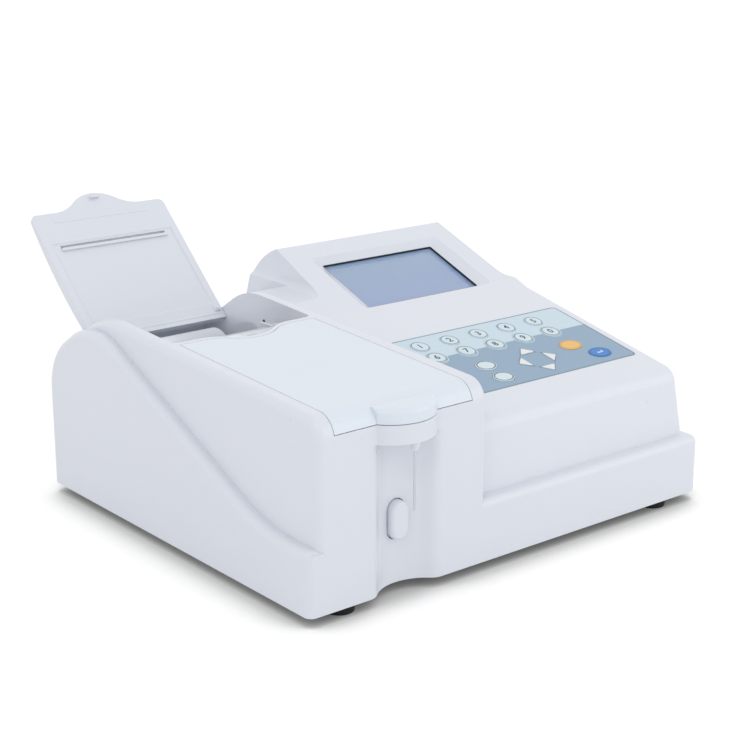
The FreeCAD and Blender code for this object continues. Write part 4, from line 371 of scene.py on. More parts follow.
@dataclass(frozen=True)
class Finish:
    """A moulded, painted or rubbery finish with grain, tone drift and uneven gloss."""

    name: str
    colour: Colour
    roughness: float = 0.35
    roughness_spread: float = 0.06
    drift: float = 0.03
    drift_scale: float = 9.0
    grain_scale: float = 900.0
    grain_depth: float = 0.02
    metallic: float = 0.0
    coat: float = 0.0

    def tinted(self, name: str, colour: Colour) -> "Finish":
        """Same surface under another name, in another colour."""
        return replace(self, name=name, colour=colour)

    def shade(self, share: float) -> tuple[float, ...]:
        """The colour times a share, no lighter than white, with full alpha."""
        return (*(min(1.0, part * share) for part in self.colour), 1)

    def skin(self, tree: NodeTree, groups: ShaderGroups) -> Node:
        """Add the shared group that gives the surface its height, tone and gloss.

        Args:
            tree: The material's node tree.
            groups: Shared node groups.

        Returns:
            The group's node.
        """
        scales = {"Grain Scale": self.grain_scale, "Drift Scale": self.drift_scale}
        return add_node(tree, "ShaderNodeGroup", scales, node_tree=groups.skin)

    def pattern(self, tree: NodeTree, shader: Node, tone: Node) -> None:
        """Add what sets a kind of finish apart: nothing here.

        Args:
            tree: The material's node tree.
            shader: Its shader.
            tone: Node of its drifting tone.
        """

    def material(self, groups: ShaderGroups) -> Material:
        """Build the finish.

        Args:
            groups: Shared node groups.

        Returns:
            The material.
        """
        material = bpy.data.materials.new(self.name)
        material.use_nodes = True
        tree = material.node_tree
        shader = tree.nodes["Principled BSDF"]
        shader.inputs["Metallic"].default_value = self.metallic
        shader.inputs["Coat Weight"].default_value = self.coat
        skin = self.skin(tree, groups)
        tones = {"A": self.shade(1 - self.drift), "B": self.shade(1 + self.drift)}
        tone = add_node(tree, "ShaderNodeMix", tones, data_type="RGBA")
        gloss = add_node(tree, "ShaderNodeMapRange", {
            "To Min": max(0.02, self.roughness - self.roughness_spread),
            "To Max": min(1.0, self.roughness + self.roughness_spread)})
        bump = add_node(tree, "ShaderNodeBump", {"Strength": self.grain_depth, "Distance": MM})
        wire(
            tree,
            (skin, "Tone", tone, "Factor"),
            (tone, "Result", shader, "Base Color"),
            (skin, "Gloss", gloss, "Value"),
            (gloss, "Result", shader, "Roughness"),
            (skin, "Height", bump, "Height"),
            (bump, "Normal", shader, "Normal"),
        )
        self.pattern(tree, shader, tone)
        return material


@dataclass(frozen=True)
class BrushedFinish(Finish):
    """Bare metal with fine brushed lines along X."""

    metallic: float = 1.0

    def skin(self, tree: NodeTree, groups: ShaderGroups) -> Node:
        """Node of the shared brushed lines."""
        return add_node(tree, "ShaderNodeGroup", {"Line Scale": self.grain_scale}, node_tree=groups.brush)


@dataclass(frozen=True)
class ClearFinish(Finish):
    """Glass, quartz or clear silicone."""

    index: float = 1.46
    transmission: float = 1.0

    def pattern(self, tree: NodeTree, shader: Node, tone: Node) -> None:
        """Let light through the material."""
        shader.inputs["Transmission Weight"].default_value = self.transmission
        shader.inputs["IOR"].default_value = self.index


@dataclass(frozen=True)
class GradientFinish(Finish):
    """Another colour towards the front, which turns into the finish's own between two depths."""

    low_colour: Colour = (0.3, 0.4, 0.5)
    low_y: float = 0.0
    high_y: float = 0.1

    def fade(self, tree: NodeTree, tone: Node) -> Node:
        """Mix the two colours by depth.

        Args:
            tree: The material's node tree.
            tone: Node of its drifting tone.

        Returns:
            The mixing node.
        """
        place = add_node(tree, "ShaderNodeTexCoord")
        split = add_node(tree, "ShaderNodeSeparateXYZ")
        rise = add_node(tree, "ShaderNodeMapRange", {"From Min": self.low_y, "From Max": self.high_y})
        fade = add_node(tree, "ShaderNodeMix", {"A": (*self.low_colour, 1)}, data_type="RGBA")
        wire(
            tree,
            (place, "Object", split, "Vector"),
            (split, "Y", rise, "Value"),
            (rise, "Result", fade, "Factor"),
            (tone, "Result", fade, "B"),
        )
        return fade

    def pattern(self, tree: NodeTree, shader: Node, tone: Node) -> None:
        """Colour the material by the gradient."""
        wire(tree, (self.fade(tree, tone), "Result", shader, "Base Color"))


@dataclass(frozen=True)
class DisplayFinish(GradientFinish):
    """Graphic display with a painted glow that stands in for lamp light the glass window keeps off it: a slow
    blue gradient under a fine grid of dots.
    """

    dot_scale: float = 1900.0
    dot_depth: float = 0.05
    glow: float = 0.42

    def pattern(self, tree: NodeTree, shader: Node, tone: Node) -> None:
        """Lay the dots over the gradient and give it its painted glow.

        Args:
            tree: The material's node tree.
            shader: Its shader.
            tone: Node of its drifting tone.
        """
        # Painted glow: emission that stands in for lamp light the glass window keeps off the display.
        shader.inputs["Emission Strength"].default_value = self.glow
        dark = 1 - self.dot_depth
        place = add_node(tree, "ShaderNodeTexCoord")
        dots = add_node(tree, "ShaderNodeTexChecker", {
            "Scale": self.dot_scale, "Color1": (1, 1, 1, 1), "Color2": (dark, dark, dark, 1)})
        grid = add_node(tree, "ShaderNodeMix", {"Factor": 1.0}, data_type="RGBA", blend_type="MULTIPLY")
        wire(
            tree,
            (place, "Object", dots, "Vector"),
            (self.fade(tree, tone), "Result", grid, "A"),
            (dots, "Color", grid, "B"),
            (grid, "Result", shader, "Base Color"),
            (grid, "Result", shader, "Emission Color"),
        )


@dataclass(frozen=True)
class FilterFinish(Finish):
    """Filter glasses, each tinted by its place round the wheel."""

    index: float = 1.46
    centre: Point = (0.0, 0.0, 0.0)
    tints: tuple[Colour, ...] = ()

    def pattern(self, tree: NodeTree, shader: Node, tone: Node) -> None:
        """Give each filter its tint.

        Args:
            tree: The material's node tree.
            shader: Its shader.
            tone: Node of its drifting tone, which the tints replace.
        """
        shader.inputs["IOR"].default_value = self.index
        count = len(self.tints)
        half = math.pi / count
        place = add_node(tree, "ShaderNodeTexCoord")
        centred = add_node(tree, "ShaderNodeVectorMath", {1: self.centre}, operation="SUBTRACT")
        split = add_node(tree, "ShaderNodeSeparateXYZ")
        angle = add_node(tree, "ShaderNodeMath", operation="ARCTAN2")
        turn = add_node(tree, "ShaderNodeMapRange", {"From Min": -math.pi - half, "From Max": math.pi - half})
        ramp = add_node(tree, "ShaderNodeValToRGB")
        ramp.color_ramp.interpolation = "CONSTANT"
        fill_ramp(ramp, [(number / count, tint) for number, tint in enumerate(self.tints)])
        wire(
            tree,
            (place, "Object", centred, 0),
            (centred, "Vector", split, "Vector"),
            (split, "Z", angle, 0),
            (split, "X", angle, 1),
            (angle, "Value", turn, "Value"),
            (turn, "Result", ramp, "Fac"),
            (ramp, "Color", shader, "Base Color"),
        )


@dataclass(frozen=True)
class PaperFinish(Finish):
    """Paper roll: faint rings of wound layers about the roll's own axis."""

    axis_y: float = 0.0
    axis_z: float = 0.0
    layer_scale: float = 900.0
    layer_waver: float = 1.5
    layer_depth: float = 0.14

    def pattern(self, tree: NodeTree, shader: Node, tone: Node) -> None:
        """Lay the wound layers over the paper's tone.

        Args:
            tree: The material's node tree.
            shader: Its shader.
            tone: Node of its drifting tone.
        """
        place = add_node(tree, "ShaderNodeTexCoord")
        centred = add_node(tree, "ShaderNodeMapping", {"Location": (0, -self.axis_y, -self.axis_z)})
        wound = add_node(
            tree, "ShaderNodeTexWave", {"Scale": self.layer_scale, "Distortion": self.layer_waver},
            wave_type="RINGS", rings_direction="X")
        layers = add_node(
            tree, "ShaderNodeMix", {"Factor": self.layer_depth}, data_type="RGBA", blend_type="MULTIPLY")
        wire(
            tree,
            (place, "Object", centred, "Vector"),
            (centred, "Vector", wound, "Vector"),
            (tone, "Result", layers, "A"),
            (wound, "Color", layers, "B"),
            (layers, "Result", shader, "Base Color"),
        )


def add_object(name: str, data: ID) -> Object:
    """Link a mesh, text, lamp or camera as a new object at the origin.

    Args:
        name: Name of the object.
        data: What the object shows.

    Returns:
        The new object.
    """
    made = bpy.data.objects.new(name, data)
    bpy.context.scene.collection.objects.link(made)
    return made


def plain_mesh(work: Object, place: Matrix) -> Mesh:
    """Turn a helper object into a plain mesh and remove the helper.

    Args:
        work: Text, or a mesh with modifiers.
        place: Matrix that puts the mesh in the part's frame.

    Returns:
        The mesh.
    """
    graph = bpy.context.evaluated_depsgraph_get()
    mesh = bpy.data.meshes.new_from_object(work.evaluated_get(graph))
    bpy.data.objects.remove(work)
    mesh.transform(place)
    return mesh


def closed_mesh(name: str, points: Sequence[Point], faces: list[Sequence[int]]) -> Mesh:
    """Mesh with every face turned outwards.

    Args:
        name: Name of the mesh.
        points: Its corners in metres.
        faces: Corner numbers of each face.

    Returns:
        The closed mesh.
    """
    mesh = bpy.data.meshes.new(name)
    mesh.from_pydata(points, [], faces)
    work = bmesh.new()
    work.from_mesh(mesh)
    bmesh.ops.recalc_face_normals(work, faces=work.faces)
    work.to_mesh(mesh)
    work.free()
    return mesh


def plate(name: str, loop: Loop, low: float, high: float) -> Mesh:
    """Flat plate with an outline in the XY plane, between two heights.

    Args:
        name: Name of the mesh.
        loop: Outline as (x, y) points in metres.
        low: Height of its lower face.
        high: Height of its upper face.

    Returns:
        The closed mesh, faces outwards.
    """
    count = len(loop)
    points = [(x, y, z) for z in (low, high) for x, y in loop]
    faces: list[Sequence[int]] = [range(count), range(count, 2 * count)]
    for i in range(count):
        j = (i + 1) % count
        faces.append((i, j, count + j, count + i))
    return closed_mesh(name, points, faces)


def slab(name: str, plane: Plane, loop: Loop, low: float, high: float) -> Object:
    """Plate with an outline on a plane.

    Args:
        name: Name of the piece.
        plane: Surface that the plate lies on.
        loop: Outline as (u, v) points in metres.
        low: Height of its lower face over the plane.
        high: Height of its upper face.

    Returns:
        The new object.
    """
    mesh = plate(name, loop, low, high)
    mesh.transform(plane.matrix())
    return add_object(name, mesh)


def tube(name: str, plane: Plane, rings: Sequence[tuple[Loop, float]]) -> Object:
    """Closed tube through outlines with as many points each, the last one joined to the first.

    Args:
        name: Name of the piece.
        plane: Surface that the tube lies on.
        rings: Each outline as (u, v) points in metres, with its height over the plane.

    Returns:
        The new object.
    """
    count = len(rings[0][0])
    points = [tuple(plane.at(u, v, w)) for loop, w in rings for u, v in loop]
    faces: list[Sequence[int]] = []
    for ring in range(len(rings)):
        here = ring * count
        ahead = (ring + 1) % len(rings) * count
        for i in range(count):
            j = (i + 1) % count
            faces.append((here + i, here + j, ahead + j, ahead + i))
    return add_object(name, closed_mesh(name, points, faces))


def band(name: str, plane: Plane, outer: Loop, inner: Loop, low: float, high: float) -> Object:
    """Tube with a square section between an outer and an inner outline, from low to high."""
    return tube(name, plane, ((outer, low), (outer, high), (inner, high), (inner, low)))


def rounded_box(width: float, height: float, radius: float, steps: int = 8) -> Loop:
    """Outline of a centred rectangle with rounded corners.

    Args:
        width: Its whole width.
        height: Its whole height.
        radius: Radius of the corners.
        steps: Straight steps round each corner.

    Returns:
        The outline's points.
    """
    loop: Loop = []
    w = width / 2 - radius
    h = height / 2 - radius
    for corner, (x, y) in enumerate(((w, h), (-w, h), (-w, -h), (w, -h))):
        for step in range(steps + 1):
            turn = math.pi / 2 * (corner + step / steps)
            loop.append((x + radius * math.cos(turn), y + radius * math.sin(turn)))
    return loop


def oval(width: float, height: float, count: int = 64) -> Loop:
    """Outline of a centred ellipse with that many points."""
    turns = [2 * math.pi * i / count for i in range(count)]
    return [(width / 2 * math.cos(turn), height / 2 * math.sin(turn)) for turn in turns]


class Repeats:
    """Geometry node trees for what repeats on the object."""

    def __init__(self) -> None:
        """Build every tree."""
        self.row = self._row_tree()
        self.ring = self._ring_tree()
        self.spots = self._spot_tree()

    @staticmethod
    def _new(name: str, inputs: Sockets) -> NodeTree:
        """Make a geometry tree.

        Args:
            name: Name of the tree.
            inputs: Its inputs between the geometry and the material.

        Returns:
            The empty tree.
        """
        geometry = ("Geometry", Socket.GEOMETRY)
        inputs = (geometry, *inputs, ("Material", Socket.MATERIAL))
        return new_tree(name, "GeometryNodeTree", inputs, (geometry,))

    @staticmethod
    def _close(tree: NodeTree, last: Node, output: str) -> None:
        """End a tree in Realize Instances and Set Material.

        Args:
            tree: The tree.
            last: Node that makes its geometry.
            output: Name of that node's output.
        """
        real = add_node(tree, "GeometryNodeRealizeInstances")
        paint = add_node(tree, "GeometryNodeSetMaterial")
        wire(
            tree,
            (last, output, real, "Geometry"),
            (real, "Geometry", paint, "Geometry"),
            (tree.nodes["Group Input"], "Material", paint, "Material"),
            (paint, "Geometry", tree.nodes["Group Output"], "Geometry"),
        )

    def _row_tree(self) -> NodeTree:
        """Row of copies of the incoming shape along X.

        Returns:
            The tree.
        """
        tree = self._new("shape_row", (("Count", Socket.COUNT), ("Pitch", Socket.FLOAT)))
        enter = tree.nodes["Group Input"]
        line = add_node(tree, "GeometryNodeMeshLine")
        step = add_node(tree, "ShaderNodeCombineXYZ")
        copies = add_node(tree, "GeometryNodeInstanceOnPoints")
        wire(
            tree,
            (enter, "Count", line, "Count"),
            (enter, "Pitch", step, "X"),
            (step, "Vector", line, "Offset"),
            (line, "Mesh", copies, "Points"),
            (enter, "Geometry", copies, "Instance"),
        )
        self._close(tree, copies, "Instances")
        return tree

    def _ring_tree(self) -> NodeTree:
        """Printed ring: a flat ribbon with a rectangular section along a circle.

        Returns:
            The tree.
        """
        tree = self._new("printed_ring", [(label, Socket.FLOAT) for label in ("Radius", "Line", "Height")])
        enter = tree.nodes["Group Input"]
        circle = add_node(tree, "GeometryNodeCurvePrimitiveCircle", {"Resolution": 64})
        section = add_node(tree, "GeometryNodeCurvePrimitiveQuadrilateral")
        sweep = add_node(tree, "GeometryNodeCurveToMesh")
        wire(
            tree,
            (enter, "Radius", circle, "Radius"),
            (enter, "Line", section, "Width"),
            (enter, "Height", section, "Height"),
            (circle, "Curve", sweep, "Curve"),
            (section, "Curve", sweep, "Profile Curve"),
        )
        self._close(tree, sweep, "Mesh")
        return tree

    def _spot_tree(self) -> NodeTree:
        """Copies of one fitting on every point of the incoming mesh, turned by its angles.

        Returns:
            The tree.
        """
        tree = self._new("fitting_spots", (("Fitting", Socket.OBJECT), ("Turn", Socket.VECTOR)))
        enter = tree.nodes["Group Input"]
        fitting = add_node(tree, "GeometryNodeObjectInfo")
        copies = add_node(tree, "GeometryNodeInstanceOnPoints")
        wire(
            tree,
            (enter, "Fitting", fitting, "Object"),
            (enter, "Geometry", copies, "Points"),
            (fitting, "Geometry", copies, "Instance"),
            (enter, "Turn", copies, "Rotation"),
        )
        self._close(tree, copies, "Instances")
        return tree

    @staticmethod
    def run(
        name: str,
        tree: NodeTree,
        start: Mesh,
        values: dict[str, object],
        place: Matrix,
    ) -> Object:
        """Run a tree on a start mesh and keep its result as a plain mesh.

        Args:
            name: Name of the piece.
            tree: Geometry node tree.
            start: Mesh that enters the tree.
            values: Values of the tree's named inputs.
            place: Matrix that puts the result in the part's frame.

        Returns:
            The new object, at the origin.
        """
        work = add_object(name + "_work", start)
        modifier = work.modifiers.new("repeat", "NODES")
        modifier.node_group = tree
        for item in tree.interface.items_tree:
            if item.in_out == "INPUT" and item.name in values:
                modifier[item.identifier] = values[item.name]
        mesh = plain_mesh(work, place)
        mesh.name = name
        return add_object(name, mesh)


@dataclass(frozen=True)
class Ring:
    """A printed ring's middle radius, line width and whole height."""

    radius: float
    line: float
    height: float


@dataclass
class Dresser:
    """Hands out finishes and sets each piece on its body."""

    groups: ShaderGroups
    repeats: Repeats
    made: dict[str, Material] = field(default_factory=dict)

    def paint(self, finish: Finish) -> Material:
        """Material of a finish, built on its first use.

        Args:
            finish: The finish.

        Returns:
            The material.
        """
        if finish.name not in self.made:
            self.made[finish.name] = finish.material(self.groups)
        return self.made[finish.name]

    def ink(self, ink: Ink) -> Material:
        """Material of a printing ink, or of a dark colour of painted shade."""
        return self.paint(INK_FINISH.tinted("ink_" + ink.name.lower(), ink.value))

    def ring(self, name: str, plane: Plane, ring: Ring, ink: Ink) -> Object:
        """Printed ring about a plane's origin.

        Args:
            name: Name of the piece.
            plane: Surface that carries the ring.
            ring: Its measures.
            ink: Its ink.

        Returns:
            The new object, with its material.
        """
        values = {"Radius": ring.radius, "Line": ring.line, "Height": ring.height, "Material": self.ink(ink)}
        start = bpy.data.meshes.new(name + "_start")
        return Repeats.run(name, self.repeats.ring, start, values, plane.matrix())

    def coat(self, node: str, material: Material) -> None:
        """Give a CAD node its material.

        Args:
            node: Name of the CAD node.
            material: Its material.
        """
        slots = frame["nodes"][node].data.materials
        slots.clear()
        slots.append(material)
        LOG.info("finish %s on %s", material.name, node)

    def place(self, piece: Object, body: str, slot: str, paint: Material | None) -> None:
        """Finish a new piece and let it ride on its body.

        Args:
            piece: The new object.
            body: Name of the CAD body that carries it.
            slot: Material slot of the record that it belongs to; not used.
            paint: Its material, or None where the piece already has one.
        """
        if paint is not None:
            piece.data.materials.clear()
            piece.data.materials.append(paint)
        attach(piece, body)
        LOG.info("piece %s on %s", piece.name, body)


# A finish lists its roughness and spread, its tone drift and scale, then its grain scale and depth.
INK_FINISH = Finish("ink", Ink.DIGIT.value, 0.45, 0.05, 0.05, 60.0, 2500.0, 0.01)
HOUSING_FINISH = Finish("housing_gloss", srgb(221, 225, 234), 0.30, 0.05, 0.012, 7.0, 1400.0, 0.003, coat=0.4)
COVER_FINISH = Finish("cover_gloss", srgb(221, 229, 239), 0.30, 0.03, 0.012, 8.0, 1400.0, 0.001, coat=0.3)
PALE_KEY = Finish("key_pale", srgb(210, 227, 236), 0.42, 0.05, 0.015, 40.0, 2200.0, 0.012)
BRIGHT_KEY = Finish("key_orange", srgb(238, 190, 104), 0.42, 0.05, 0.04, 60.0, 2200.0, 0.012)
SLOT_FINISHES: dict[str, Finish] = {
    "housing_white": HOUSING_FINISH,
    "cover_white": COVER_FINISH,
    "base_grey": Finish("base_paint", srgb(196, 200, 206), 0.5, 0.08, 0.03, 14.0, 1600.0, 0.05),
    "zinc_steel": BrushedFinish("zinc_steel", srgb(190, 193, 198), 0.3, 0.1, 0.06),
    "foot_rubber": Finish("foot_rubber", srgb(12, 12, 13), 0.8, 0.1, 0.12, 30.0, 1500.0, 0.12),
    "tray_aluminium": BrushedFinish("tray_aluminium", srgb(205, 207, 210), 0.38, 0.1, 0.05),
    "optic_black": Finish("optic_black", srgb(34, 35, 38), 0.5, 0.08, 0.1, 25.0, 2200.0, 0.06),
    "quartz": ClearFinish("quartz_clear", srgb(240, 246, 250), 0.06, 0.03, 0.01),
    "motor_black": Finish("motor_black", srgb(38, 39, 42), 0.42, 0.1, 0.1, 20.0, 1500.0, 0.06),
    "board_green": Finish("board_green", srgb(38, 104, 66), 0.42, 0.08, 0.12, 70.0, 800.0, 0.08),
    "pump_grey": Finish("pump_grey", srgb(150, 154, 160), 0.48, 0.08, 0.04, 20.0, 1400.0, 0.04),
    "acetal_white": Finish("acetal_white", srgb(228, 228, 222), 0.42, 0.06, 0.02, 25.0, 1500.0, 0.02),
    "silicone": ClearFinish(
        "silicone_hose", srgb(232, 230, 222), 0.3, 0.08, 0.02, transmission=0.55, index=1.41),
    "printer_grey": Finish("printer_grey", srgb(222, 226, 234), 0.5, 0.08, 0.03, 15.0, 1300.0, 0.04),
    "head_ceramic": Finish("head_ceramic", srgb(78, 80, 84), 0.45, 0.1, 0.08, 40.0, 1500.0, 0.04),
    "key_blue_grey": PALE_KEY,
    "key_light": PALE_KEY.tinted("key_light", srgb(214, 229, 235)),
    "key_orange": BRIGHT_KEY,
    "key_blue": BRIGHT_KEY.tinted("key_blue", srgb(58, 130, 206)),
    "inlet_black": Finish("inlet_black", srgb(30, 31, 33), 0.42, 0.08, 0.1, 20.0, 1500.0, 0.04),
}
FILTER_TINTS: tuple[Colour, ...] = (
    srgb(120, 60, 160),
    srgb(70, 80, 200),
    srgb(50, 140, 210),
    srgb(60, 170, 120),
    srgb(170, 200, 70),
    srgb(235, 200, 70),
    srgb(230, 130, 60),
    srgb(200, 60, 60),
)
ARROW_WAYS = {"key_right": (1, 0), "key_left": (-1, 0), "key_up": (0, 1), "key_down": (0, -1)}


@dataclass
class Mouldings:
    """Every CAD node's finish, by its material slot or by itself."""

    dresser: Dresser
    pad_edge_y: float
    pad_edge_soft: float = 0.3 * MM
    white_nodes: tuple[str, ...] = ("printer_lid", "lid_panel", "aspirate_button", "nozzle")

    def special(self) -> dict[str, Finish]:
        """Finishes of the nodes that don't take their slot's.

        Returns:
            The finish of each such node.
        """
        wheel_low, wheel_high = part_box("filter_wheel")
        roll_low, roll_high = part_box("paper_roll")
        screen_low, screen_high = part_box("lcd_window")
        roll = (roll_low + roll_high) / 2
        arrow = PALE_KEY.tinted("key_arrow", srgb(230, 234, 234))
        return dict.fromkeys(ARROW_WAYS, arrow) | dict.fromkeys(self.white_nodes, HOUSING_FINISH) | {
            "probe": BrushedFinish("probe_steel", srgb(212, 215, 221), 0.2, 0.05, 0.03),
            "keypad_overlay": GradientFinish(
                "keypad_sheet", srgb(203, 221, 232), 0.46, 0.05, 0.015, 20.0, 2200.0, 0.01,
                low_colour=srgb(145, 170, 193), low_y=self.pad_edge_y - self.pad_edge_soft,
                high_y=self.pad_edge_y + self.pad_edge_soft),
            "lcd_module": DisplayFinish(
                "display_cell", srgb(150, 170, 196), 0.4, 0.05, 0.02, 12.0, 2500.0, 0.01,
                low_colour=srgb(152, 166, 204), low_y=screen_low.y, high_y=screen_high.y),
            "paper_roll": PaperFinish(
                "paper_wound", srgb(208, 213, 222), 0.8, 0.05, 0.015, 30.0, 1200.0, 0.04,
                axis_y=roll.y, axis_z=roll.z),
            "filter_glasses": FilterFinish(
                "filter_glass", (0.9, 0.9, 0.9), 0.12, 0.04, 0.02,
                centre=tuple((wheel_low + wheel_high) / 2), tints=FILTER_TINTS),
        }

    def dress(self) -> None:
        """Give every CAD node its material."""
        special = self.special()
        for entry in frame["record"]["subparts"]:
            node = entry["node"]
            finish = special.get(node) or SLOT_FINISHES[entry["material_slot"]]
            self.dresser.coat(node, self.dresser.paint(finish))


@dataclass
class Keypad:
    """Printing on the membrane keypad, with painted shade: a dark line of painted shade along its edge,
    halos, rings, numerals, and arrow outlines that are print at the corners and painted shade along the keys'
    sides.
    """

    dresser: Dresser
    ink_height: float = 0.04 * MM
    digit_ring: Ring = Ring(7.35 * MM, 0.7 * MM, 0.04 * MM)
    halo: Ring = Ring(9.15 * MM, 1.3 * MM, 0.04 * MM)
    digit_size: float = 9.0 * MM
    digit_swell: float = 0.2 * MM
    edge_drop: float = 0.6 * MM
    border_in: float = 0.5 * MM
    border_trim: float = 0.3 * MM
    border_line: float = 0.9 * MM
    border_r: float = 4.8 * MM
    oval_in: float = 0.75 * MM
    oval_line: float = 1.05 * MM
    orange_edge: Finish = BRIGHT_KEY.tinted("key_orange_edge", srgb(212, 164, 96))
    blue_edge: Finish = BRIGHT_KEY.tinted("key_blue_edge", srgb(44, 104, 178))
    halo_keys: tuple[str, ...] = ("key_6", "key_7", "key_8", "key_9", "key_0")
    arrow_outer: Point = (0.8 * MM, 1.3 * MM, 3.0 * MM)
    arrow_inner: Point = (0.25 * MM, 0.5 * MM, 1.0 * MM)
    enter_shape_mm: tuple[tuple[float, float], ...] = (
        (-3.4, -0.5), (-1.5, 1.1), (-1.5, 0.0), (2.0, 0.0), (2.0, 1.9), (3.1, 1.9), (3.1, -1.0), (-1.5, -1.0),
        (-1.5, -2.1))

    def around(self, key: str) -> Plane:
        """Upper face of the overlay, about the middle of a key.

        Args:
            key: CAD node of the key.

        Returns:
            The plane.
        """
        pad = sloping_plane("keypad_overlay")
        middle = sloping_plane(key).origin
        return pad.moved(middle - pad.out * (middle - pad.origin).dot(pad.out))

    def edge_y(self) -> float:
        """Depth where the pale band meets the darker field, through the second row of keys."""
        low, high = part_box("key_8")
        return (low.y + high.y) / 2 - self.edge_drop

    def border(self) -> None:
        """Thin dark line of painted shade along the overlay's edge, where the gap round it falls in shade."""
        low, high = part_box("keypad_overlay")
        plane = sloping_plane("keypad_overlay")
        width = high.x - low.x - 2 * self.border_in
        length = (high.y - low.y) / plane.up.y - 2 * self.border_in - self.border_trim
        line = 2 * self.border_line
        outer = rounded_box(width, length, self.border_r)
        inner = rounded_box(width - line, length - line, self.border_r - self.border_line)
        # Painted shade: a dark band along the overlay's edge, where its gap falls in shade.
        piece = band("keypad_border", plane, outer, inner, 0, self.ink_height)
        self.dresser.place(piece, Body.BASE.value, "pad_blue", self.dresser.ink(Ink.BORDER))

    def halos(self) -> None:
        """Pale rings that free the second row's keys from the darker field."""
        for key in self.halo_keys:
            piece = self.dresser.ring(key + "_halo", self.around(key), self.halo, Ink.HALO)
            self.dresser.place(piece, Body.BASE.value, "pad_blue", None)

    def numeral(self, key: str, text: str) -> None:
        """Plain number printed on a key.

        Args:
            key: CAD node of the key.
            text: The number.
        """
        curve = bpy.data.curves.new(key + "_text", "FONT")
        curve.body = text
        curve.size = self.digit_size
        curve.align_x = "CENTER"
        curve.align_y = "CENTER"
        curve.extrude = self.ink_height / 2
        curve.offset = self.digit_swell
        face = sloping_plane(key)
        place = face.moved(face.at(0, 0, self.ink_height / 2)).matrix()
        mesh = plain_mesh(add_object(key + "_text_work", curve), place)
        piece = add_object(key + "_numeral", mesh)
        self.dresser.place(piece, key + "_cap", "key_blue_grey", self.dresser.ink(Ink.DIGIT))

    def digits(self) -> None:
        """Ring and number on each digit key."""
        for number in range(10):
            key = "key_%d" % number
            piece = self.dresser.ring(key + "_ring", sloping_plane(key), self.digit_ring, Ink.RING)
            self.dresser.place(piece, key + "_cap", "key_blue_grey", None)
            self.numeral(key, str(number))

    def ovals(self) -> None:
        """Dark outline on the pale oval keys, and one of their own tone on the coloured ones."""
        dark = self.dresser.ink(Ink.RING)
        edges = {
            "key_function_1": ("key_light", dark),
            "key_function_2": ("key_light", dark),
            "key_clear": ("key_orange", self.dresser.paint(self.orange_edge)),
            "key_enter": ("key_blue", self.dresser.paint(self.blue_edge)),
        }
        for key, (slot, paint) in edges.items():
            low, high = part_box(key)
            plane = sloping_plane(key)
            width = high.x - low.x - 2 * self.oval_in
            height = (high.y - low.y) / plane.up.y - 2 * self.oval_in
            inner = oval(width - 2 * self.oval_line, height - 2 * self.oval_line)
            piece = band(key + "_outline", plane, oval(width, height), inner, 0, self.ink_height)
            self.dresser.place(piece, key + "_cap", slot, paint)

    def arrows(self) -> None:
        """Dark outline with drawn-out corners round each arrow key: printed ticks at the corners, painted
        shade along the raised key's sides.
        """
        for key, (du, dv) in ARROW_WAYS.items():
            low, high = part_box(key)
            plane = self.around(key)
            size_u = (high.x - low.x) / 2
            size_v = (high.y - low.y) / plane.up.y / 2
            long, wide = (size_u, size_v) if du else (size_v, size_u)
            rims = []
            for base, tip, side in (self.arrow_outer, self.arrow_inner):
                shape = ((-long - base, wide + side), (-long - base, -wide - side), (long + tip, 0))
                rims.append([(a * du - b * dv, a * dv + b * du) for a, b in shape])
            # Painted shade along the raised key's sides, joined to printed ticks at its corners.
            piece = band(key + "_outline", plane, *rims, 0, self.ink_height)
            self.dresser.place(piece, Body.BASE.value, "pad_blue", self.dresser.ink(Ink.BORDER))

    def enter_mark(self) -> None:
        """Plain return arrow on the blue key."""
        loop = [(x * MM, y * MM) for x, y in self.enter_shape_mm]
        piece = slab("key_enter_mark", sloping_plane("key_enter"), loop, 0, self.ink_height)
        self.dresser.place(piece, "key_enter_cap", "key_blue", self.dresser.ink(Ink.MARK))

    def dress(self) -> None:
        """Print the keypad."""
        self.border()
        self.halos()
        self.digits()
        self.ovals()
        self.arrows()
        self.enter_mark()


@dataclass
class Display:
    """Dark gasket round the display window, with painted shade that makes it wider on its upper right, where
    the window's recess walls fall in shade.
    """

    dresser: Dresser
    window_lap: float = 3.0 * MM
    play: float = 0.1 * MM
    foot: float = 0.02 * MM
    land: float = 1.5 * MM
    gasket_t: float = 0.65 * MM
    gasket_shift: float = 0.45 * MM
    corner_r: float = 1.5 * MM
    gasket: Finish = Finish("display_gasket", srgb(14, 34, 46), 0.6, 0.1, 0.1, 40.0, 1500.0, 0.05)

    def dress(self) -> None:
        """Line the display's opening with its gasket."""
        low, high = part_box("lcd_window")
        plane = sloping_plane("lcd_window")
        width = high.x - low.x - 2 * self.window_lap
        length = tilted_length(low, high, plane) - 2 * self.window_lap
        t = 2 * self.gasket_t
        outer = rounded_box(width - self.play, length - self.play, self.corner_r)
        edge = rounded_box(width - t, length - t, self.corner_r - self.gasket_t)
        # Painted shade: the band is shifted so it is wider on the upper right, where the recess walls fall in
        # shade.
        inner = [(u - self.gasket_shift, v - self.gasket_shift) for u, v in edge]
        piece = band("display_gasket", plane, outer, inner, self.foot, self.land)
        self.dresser.place(piece, Body.BASE.value, "lcd_blue", self.dresser.paint(self.gasket))


